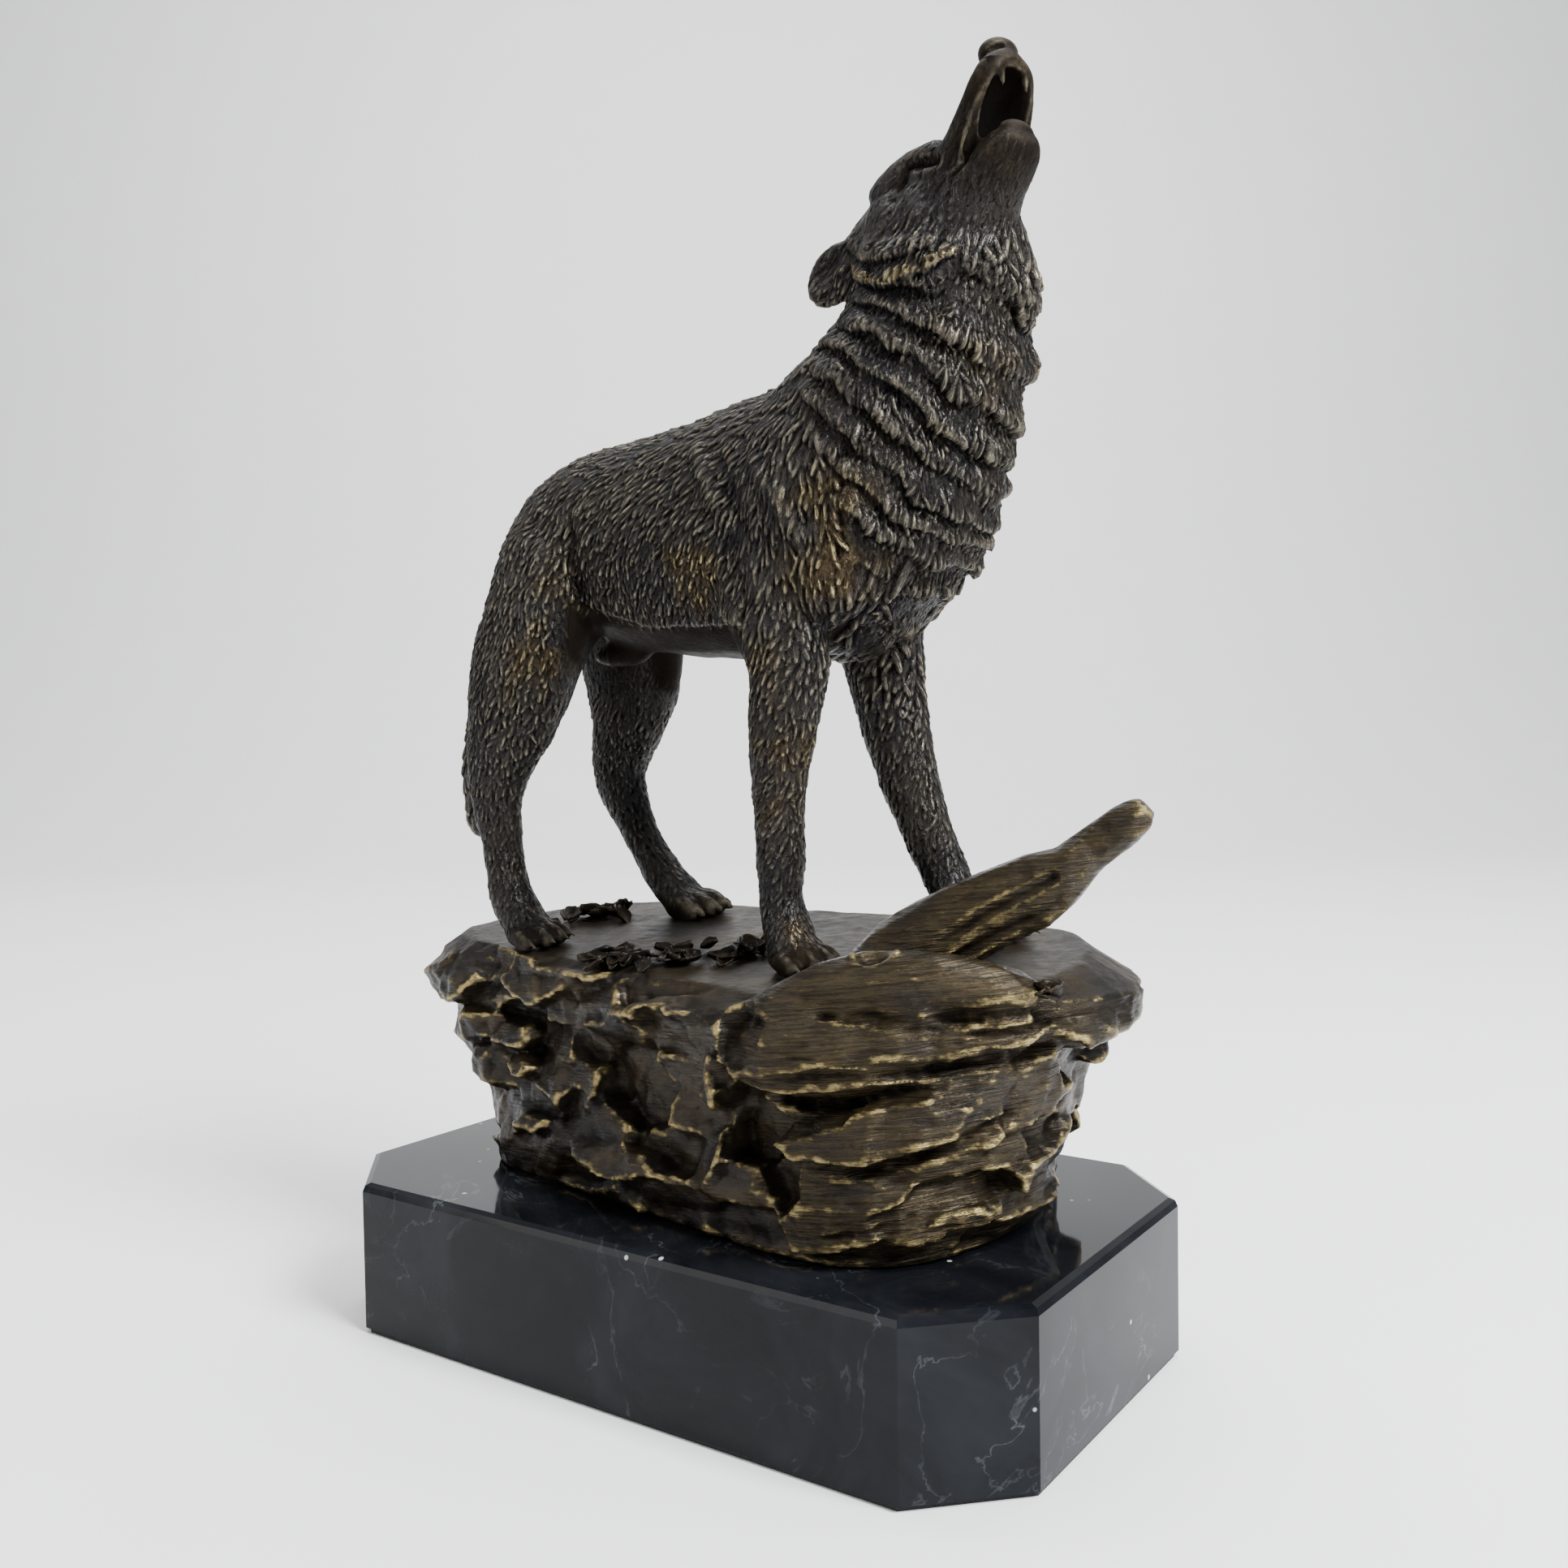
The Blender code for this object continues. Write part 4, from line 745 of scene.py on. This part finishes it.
def dark_felt():
    m = Nodes("black_felt")
    fibre = m.noise(m.place((0.3, 0.3, 0.3)), 5.0, 0.7, 1.0)
    tuft = m.noise(m.place((3, 3, 3)), 3.0, 0.6)
    colour = m.mix(m.ramp(fibre, 0.3, 0.7), (0.008, 0.008, 0.009), (0.030, 0.030, 0.032))
    colour = m.mix(m.ramp(tuft, 0.4, 0.8, 0.0, 0.4), colour, (0.018, 0.018, 0.020))
    return m.finish(Base_Color=colour, Roughness=0.95, Normal=m.bump(fibre, 0.2, 0.8))


def plated_steel():
    m = Nodes("zinc_plated_steel")
    drawn = m.noise(m.place((0.15, 0.15, 4)), 3.0, 0.6)
    spangle = m.noise(m.place((2.5, 2.5, 2.5)), 2.0)
    colour = m.mix(m.ramp(spangle, 0.35, 0.65), (0.42, 0.43, 0.44), (0.56, 0.57, 0.58))
    rough = m.ramp(drawn, 0.3, 0.7, 0.28, 0.45)
    return m.finish(Base_Color=colour, Metallic=1.0, Roughness=rough, Normal=m.bump(drawn, 0.02, 0.4))


# Where the wolf's coat is rubbed to gold on both sides: middle, reach and share
RUB_SPOTS = [
    ((39, 23, 96), 9, 0.75),
    ((41, 22, 82), 10, 1.0),
    ((28, 25, 80), 7, 0.5),
    ((4, 22, 84), 9, 0.9),
    ((-2, 20, 78), 6, 0.6),
    ((-38, 21, 82), 8, 0.8),
    ((-41, 24, 66), 8, 0.7),
    ((-47, 25, 58), 7, 0.6),
    ((25, 24, 62), 9, 0.5),
    ((28, 21, 44), 9, 0.6),
    ((24, 21, 30), 9, 0.5),
    ((68, 8, 118), 9, 0.4),
    ((60, 16, 104), 8, 0.35),
    ((66, 14, 163), 9, 0.3),
    ((72, 10, 175), 8, 0.6),
    ((76, 12, 158), 7, 0.3),
    ((-57, 22, 10), 9, 0.4),
    ((30, 20, 4), 8, 0.6),
]


def rubbed(points):
    warp = np.stack([noise_at(points, 8, seed) for seed in (11, 12, 13)], 1)
    warped = points + 6 * warp
    both = np.abs(warped * (0, 1, 0)) + warped * (1, 0, 1)
    total = np.zeros(len(points))
    for spot, reach, share in RUB_SPOTS:
        away = ((both - spot) ** 2).sum(1)
        total += share * np.exp(-away / (2 * (reach * 0.6) ** 2))
    return np.clip(total, 0, 1)


def build_wolf(material):
    rng = np.random.default_rng(SEED)
    skin = Skin("wolf", WOLF_VOXEL, 5, True, wolf_clay)
    points, normals = skin.points, skin.normals(3)
    move = stroke_relief(points, HEAD_STROKES, HEAD_PLACE) + stroke_relief(points, BODY_STROKES)
    ruff, ruff_edge, ruff_rim = ruff_relief(points)
    mane, bare = mane_share(points), bare_belly(points)
    rows = mane * (1 - smoothstep(0.0, 0.4, ruff))
    phase = row_phase(points, 2.4 * noise_at(points, 6.5, 9))
    swell = phase**1.3 * (1 - smoothstep(0.84, 0.98, phase))
    lumps = np.clip(0.9 + 1.3 * noise_at(points, 7, 2), 0.15, 1.9)
    ragged = np.clip(1 + 0.5 * noise_at(points * (1, 1, 0.4), 2.4, 8, 2), 0.4, 1.6)
    move += ROW_DEEPER * rows * lumps * (swell * ragged - 0.4) + RUFF_RISE * ruff * ragged
    x, z = points[:, 0], points[:, 2]
    fur_edge = smoothstep(FUR_EDGE_REACH, 0, z - np.interp(x, *zip(*BELLY_EDGE))) * (1 - bare)
    fur_edge *= smoothstep(BELLY_BACK, BELLY_BACK + 4, x) * smoothstep(BELLY_FRONT, BELLY_FRONT - 4, x)
    move += FUR_EDGE_RISE * fur_edge
    move += UNDULATION * noise_at(points, UNDULATION_SIZE, 3) * (z < 140)
    skin.points = points + normals * move[:, None]
    points, normals = skin.points, skin.normals(4)
    flow, length, width, height = guided(points)
    over_rock = points[:, 2] - TOP_FALL * points[:, 1]
    furred = (1 - bare) * (1 - mouth_share(points)) * smoothstep(3.5, 7, over_rock)
    coat = Coat(points, normals, flow, rng)
    order = rng.permutation(len(points))
    fine = (mane < 0.5) & (height * furred > 0.06)

    def lay(lock, where, size=1.0, tall=height, ribs=0):
        apart, longer, wider, taller, spread = lock
        centres = scatter(points, apart * size * width, order, where)
        coat.lay(centres, longer * size * length, wider * size * width, taller * tall, spread, ribs)

    lay(BODY_LOCK, fine, tall=height * furred)
    for middle, size, rise in MANE_TIERS:
        on_row = (mane >= 0.35) & (np.abs(phase - middle) < TIER_HALF_WIDTH)
        lay(MANE_LOCK, on_row, size, height * rise * np.clip(lumps, 0.5, 1.5), MANE_LOCK_RIBS)
    lay(RUFF_LOCK, ruff_edge > 0.6, tall=np.ones(len(points)))
    lay(UNDER_LOCK, (mane >= 0.35) & (coat.relief < 0.1))
    skin.points = points + normals * coat.relief[:, None]
    edge, cave = relief_marks(skin)
    attributes = {
        "edge": edge * (1 - 0.35 * mane),
        "cave": cave,
        "rub": np.maximum(rubbed(points), 0.75 * ruff_rim),
        "coat": np.clip(height / 0.4, 0.05, 1.0) * furred,
        "tip": coat.tip,
        "hair": coat.hair,
        # Mouth mask, which the fur material uses to paint shade inside the open mouth
        "inside": mouth_share(points),
    }

    def split(centres):
        head = centres[:, 0] + HEAD_LEAN * centres[:, 2] > HEAD_FROM
        legs = ~head & (centres[:, 2] < LEGS_BELOW)
        rear = ~head & ~legs & (centres[:, 0] < HIPS_BEHIND)
        trunk = ~head & ~legs & ~rear
        return [("head_and_mane", head), ("trunk", trunk), ("hips", rear), ("legs_and_tail", legs)]

    build_object("wolf", skin, split, attributes, material)


# Gouges and ridges in the rock and its driftwood: points along the stroke, its reach, and its rise or depth
ROCK_STROKES = [
    ([(42, -47, -23), (60, -44, -20.5), (84, -33, -17)], 1.5, -1.6),
    ([(30, -44, -30), (44, -46, -27), (60, -44, -31)], 1.2, -0.6),
    ([(56, -45, -38), (72, -36, -31), (88, -16, -24)], 1.3, -1.4),
    ([(50, -45, -48), (66, -36, -44), (78, -20, -38)], 1.2, -1.0),
    ([(34, -44, -8), (54, -43, -5), (76, -30, -6)], 1.4, -1.0),
    ([(56, -36, 5), (57, -35, 5)], 3.6, -2.4),
    ([(52.5, -36.5, 4.4), (56, -38.5, 2.2), (60, -36.5, 3.4), (60.5, -33.5, 5.2)], 1.6, 0.9),
    ([(64, -14, 12), (67, -14, 13)], 2.2, -1.6),
    ([(60, -19, 6), (62, -19, 7)], 2.0, -1.4),
    ([(72, -12, 17), (76, -11, 19)], 3.2, -1.2),
    ([(66, -17, 10), (80, -10, 20)], 1.6, -0.8),
    ([(58, -12, 16), (80, -4, 30)], 1.4, 0.6),
    ([(56, -23, 3), (66, -18, 9), (75, -13.5, 15), (82, -10.5, 19)], 1.9, -1.5),
    ([(55, -20, 9), (66, -14.5, 15.5), (76, -10, 21)], 1.6, -1.1),
    ([(60, -20.5, 0), (72, -14.5, 8), (82, -9, 14)], 2.2, -1.6),
    ([(52, -23, 6), (60, -19, 11), (68, -15, 16)], 1.1, -0.8),
    ([(84, -5, 23), (91, -3, 30)], 1.3, -0.9),
]
ROCK_MIDDLE = 5
# Leaves on the rock: middle, reach and number of each heap
LITTER_SPOTS = [
    ((-54, 6), 7, 12),
    ((-52, 13), 5, 7),
    ((-14, -28), 10, 22),
    ((-2, -21), 8, 18),
    ((8, -10), 7, 12),
    ((-53, -10), 4, 5),
    ((84, -22), 4, 8),
]


def build_rock(material):
    skin = Skin("rock", ROCK_VOXEL, 2)
    points, normals = skin.points, skin.normals(2)
    crisp = ((points - skin.relaxed(points, 12)) * normals).sum(1)
    upward = smoothstep(0.6, 0.9, normals[:, 2]) * smoothstep(-9, -4, points[:, 2])
    bare = 1 - upward
    under = smoothstep(-54.4, -53.2, points[:, 2])
    wood = smoothstep(14, 30, points[:, 0] + 0.5 * points[:, 2]) * smoothstep(0, -12, points[:, 1])
    on_top = smoothstep(1.5, 4, points[:, 2] - TOP_FALL * points[:, 1])
    wood = np.maximum(wood, on_top)
    grain = noise_at(points * (0.12, 0.12, 1), 1.5, 4, 3)
    rough = noise_at(points * (1, 1, 1.6), 7, 5, 4)
    move = np.clip(0.8 * crisp, -0.8, 0.8)
    move += bare * (0.45 * rough * (1 - 0.5 * wood) + 0.35 * grain * wood * (1 - on_top))
    move += upward * 0.22 * noise_at(points, 7, 6, 3) * (1 - on_top)
    move[upward > 0.5] = np.minimum(move[upward > 0.5], 0.2)
    skin.points = points + normals * ((move + single_strokes(points, ROCK_STROKES)) * under)[:, None]
    # Edges feed the gold wear, and hollows feed the painted shade in the rock material
    edge, cave = relief_marks(skin, (5, 22), (0.28, 0.9))
    attributes = {"edge": edge, "cave": cave, "top": upward * (1 - on_top), "wood": wood}

    def split(centres):
        left = centres[:, 0] < ROCK_MIDDLE
        return [("left_block", left), ("right_block", ~left)]

    build_object("rock", skin, split, attributes, material)


def single_strokes(points, strokes):
    total = np.zeros(len(points))
    for path, reach, rise in strokes:
        total += rise * smoothstep(reach, 0, distance_to_path(points, path))
    return total


LEAF_THICKNESS = 0.45


def leaf(bm, place, size, curl, rng):
    """A curled leaf with a pointed outline, thick enough to stay closed."""
    steps, across = 6, 4
    layers = []
    for level in (0.0, LEAF_THICKNESS):
        rows = []
        for i in range(steps + 1):
            u = i / steps
            half = size * 0.3 * math.sin(math.pi * min(max(u, 0.06), 0.94)) ** 0.7
            row = []
            for j in range(across + 1):
                v = 2 * j / across - 1
                lift = curl * (v * v * half + 0.5 * size * (u - 0.5) ** 2)
                lift += 0.25 * rng.uniform(-1, 1) * (level == 0)
                row.append(bm.verts.new(place @ Vector(((u - 0.5) * size, v * half, lift + level))))
            rows.append(row)
        layers.append(rows)
    low, high = layers
    for i in range(steps):
        for j in range(across):
            bm.faces.new((low[i][j], low[i][j + 1], low[i + 1][j + 1], low[i + 1][j]))
            bm.faces.new((high[i][j], high[i + 1][j], high[i + 1][j + 1], high[i][j + 1]))
    rim = [(i, 0) for i in range(steps)] + [(steps, j) for j in range(across)]
    rim += [(i, across) for i in range(steps, 0, -1)] + [(0, j) for j in range(across, 0, -1)]
    for (a, b), (c, d) in zip(rim, rim[1:] + rim[:1]):
        bm.faces.new((low[a][b], low[c][d], high[c][d], high[a][b]))


def build_litter(material):
    rng = np.random.default_rng(SEED + 1)
    bm = bmesh.new()
    for (x, y), reach, count in LITTER_SPOTS:
        for _ in range(count):
            px, py = x + reach * rng.normal(0, 0.5), y + 0.6 * reach * rng.normal(0, 0.5)
            turn = Euler((rng.uniform(-0.6, 0.6), rng.uniform(-0.6, 0.6), rng.uniform(0, 6.3)))
            level = TOP_FALL * py + rng.uniform(0.3, 1.4)
            place = Matrix.Translation((px, py, level)) @ turn.to_matrix().to_4x4()
            leaf(bm, place, rng.uniform(4.0, 7.5), rng.uniform(0.3, 1.3), rng)
    bmesh.ops.recalc_face_normals(bm, faces=bm.faces)
    to_world = Matrix.Translation((0, 0, ROCK_TOP * MM)) @ Matrix.Scale(MM, 4)
    bmesh.ops.transform(bm, verts=bm.verts, matrix=to_world)
    mesh = bpy.data.meshes.new("leaf_litter")
    bm.to_mesh(mesh)
    bm.free()
    # Fixed shares on every leaf: gold wear on edges, and a fixed share of the rock material's painted hollow
    # shade
    for key, amount in (("edge", 0.35), ("cave", 0.25), ("top", 0.0), ("wood", 0.0)):
        mesh.attributes.new(key, "FLOAT", "POINT").data.foreach_set("value", [amount] * len(mesh.vertices))
    mesh.polygons.foreach_set("use_smooth", [True] * len(mesh.polygons))
    dress(bpy.data.objects.new("leaf_litter", mesh), material)


# Lights: name, place, aim, size, power and colour
LIGHTS = [
    ("key", (0.75, -0.10, 0.75), (0, 0, 0.15), (0.40, 0.40), 34, (0.96, 0.98, 1.0)),
    ("fill", (-0.55, -0.75, 0.55), (0, 0, 0.13), (0.6, 0.6), 5, (1.0, 0.97, 0.92)),
    ("backdrop", (-0.3, 0.4, 1.6), (-0.9, 1.3, 0.3), (1.6, 0.8), 55, (1.0, 1.0, 1.0)),
]
# The world's light, and the floor that curves up into a backdrop, in metres
WORLD_COLOUR, WORLD_STRENGTH = (0.90, 0.93, 1.0, 1), 0.4
FLOOR_NEAR, FLOOR_BEND_FROM, FLOOR_BEND = -2.2, 1.2, 0.9
FLOOR_HALF_WIDTH, BACKDROP_HEIGHT = 3.2, 3.2


def set_camera():
    azimuth, pitch, roll = (math.radians(v) for v in (CAMERA_AZIMUTH, CAMERA_PITCH, CAMERA_ROLL))
    level, rise = math.cos(pitch), math.sin(pitch)
    look = Vector((-math.sin(azimuth) * level, math.cos(azimuth) * level, rise))
    right = Vector((math.cos(azimuth), math.sin(azimuth), 0))
    up = right.cross(look)
    tilted_right = right * math.cos(roll) + up * math.sin(roll)
    tilted_up = up * math.cos(roll) - right * math.sin(roll)
    data = bpy.data.cameras.new("camera")
    data.lens = CAMERA_LENS
    data.sensor_width = 36
    data.clip_start, data.clip_end = 0.01, 50
    camera = bpy.data.objects.new("camera", data)
    axes = Matrix((tilted_right, tilted_up, -look)).transposed().to_4x4()
    camera.matrix_world = Matrix.Translation(CAMERA_PLACE) @ axes
    bpy.context.scene.collection.objects.link(camera)
    bpy.context.scene.camera = camera


def soft_light(name, place, aim, size, power, colour):
    data = bpy.data.lights.new(name, "AREA")
    data.shape = "RECTANGLE"
    data.size, data.size_y = size
    data.energy = power
    data.color = colour
    light = bpy.data.objects.new(name, data)
    light.location = place
    light.rotation_euler = (Vector(aim) - Vector(place)).to_track_quat("-Z", "Y").to_euler()
    bpy.context.scene.collection.objects.link(light)


def set_stage():
    """A pale floor that curves up into a backdrop behind the figure."""
    m = Nodes("pale_floor")
    mottle = m.noise(m.place((60, 60, 60)), 4.0)
    m.finish(Base_Color=m.mix(mottle, (0.80, 0.80, 0.80), (0.84, 0.84, 0.84)), Roughness=0.8)
    profile = [(FLOOR_NEAR, 0.0), (FLOOR_BEND_FROM, 0.0)]
    for degrees in range(10, 91, 10):
        t = math.radians(degrees)
        profile.append((FLOOR_BEND_FROM + FLOOR_BEND * math.sin(t), FLOOR_BEND * (1 - math.cos(t))))
    profile.append((FLOOR_BEND_FROM + FLOOR_BEND, BACKDROP_HEIGHT))
    bm = bmesh.new()
    rows = [[bm.verts.new((s * FLOOR_HALF_WIDTH, away, rise)) for s in (-1, 1)] for away, rise in profile]
    for low, high in zip(rows, rows[1:]):
        bm.faces.new((low[0], low[1], high[1], high[0]))
    bmesh.ops.rotate(bm, verts=bm.verts, matrix=Matrix.Rotation(math.radians(CAMERA_AZIMUTH), 3, "Z"))
    mesh = bpy.data.meshes.new("floor")
    bm.to_mesh(mesh)
    bm.free()
    mesh.polygons.foreach_set("use_smooth", [True] * len(mesh.polygons))
    mesh.materials.append(m.material)
    floor = bpy.data.objects.new("floor", mesh)
    bpy.context.scene.collection.objects.link(floor)
    world = bpy.data.worlds.new("studio")
    world.use_nodes = True
    world.node_tree.nodes["Background"].inputs["Color"].default_value = WORLD_COLOUR
    world.node_tree.nodes["Background"].inputs["Strength"].default_value = WORLD_STRENGTH
    bpy.context.scene.world = world
    for light in LIGHTS:
        soft_light(*light)


def dress_frame():
    """The scene's own materials on the CAD nodes that stay in sight."""
    marble, felt, steel = black_marble(), dark_felt(), plated_steel()
    materials = {"marble_plinth": marble, "felt_pad": felt}
    materials |= {f"{kind}_{number}": steel for kind in ("fixing_stud", "washer", "nut") for number in (1, 2)}
    for node, material in materials.items():
        cad_node(node).data.materials.clear()
        cad_node(node).data.materials.append(material)


set_camera()
set_stage()
build_wolf(bronze_fur())
rock_bronze = bronze_rock()
build_rock(rock_bronze)
build_litter(rock_bronze)
dress_frame()
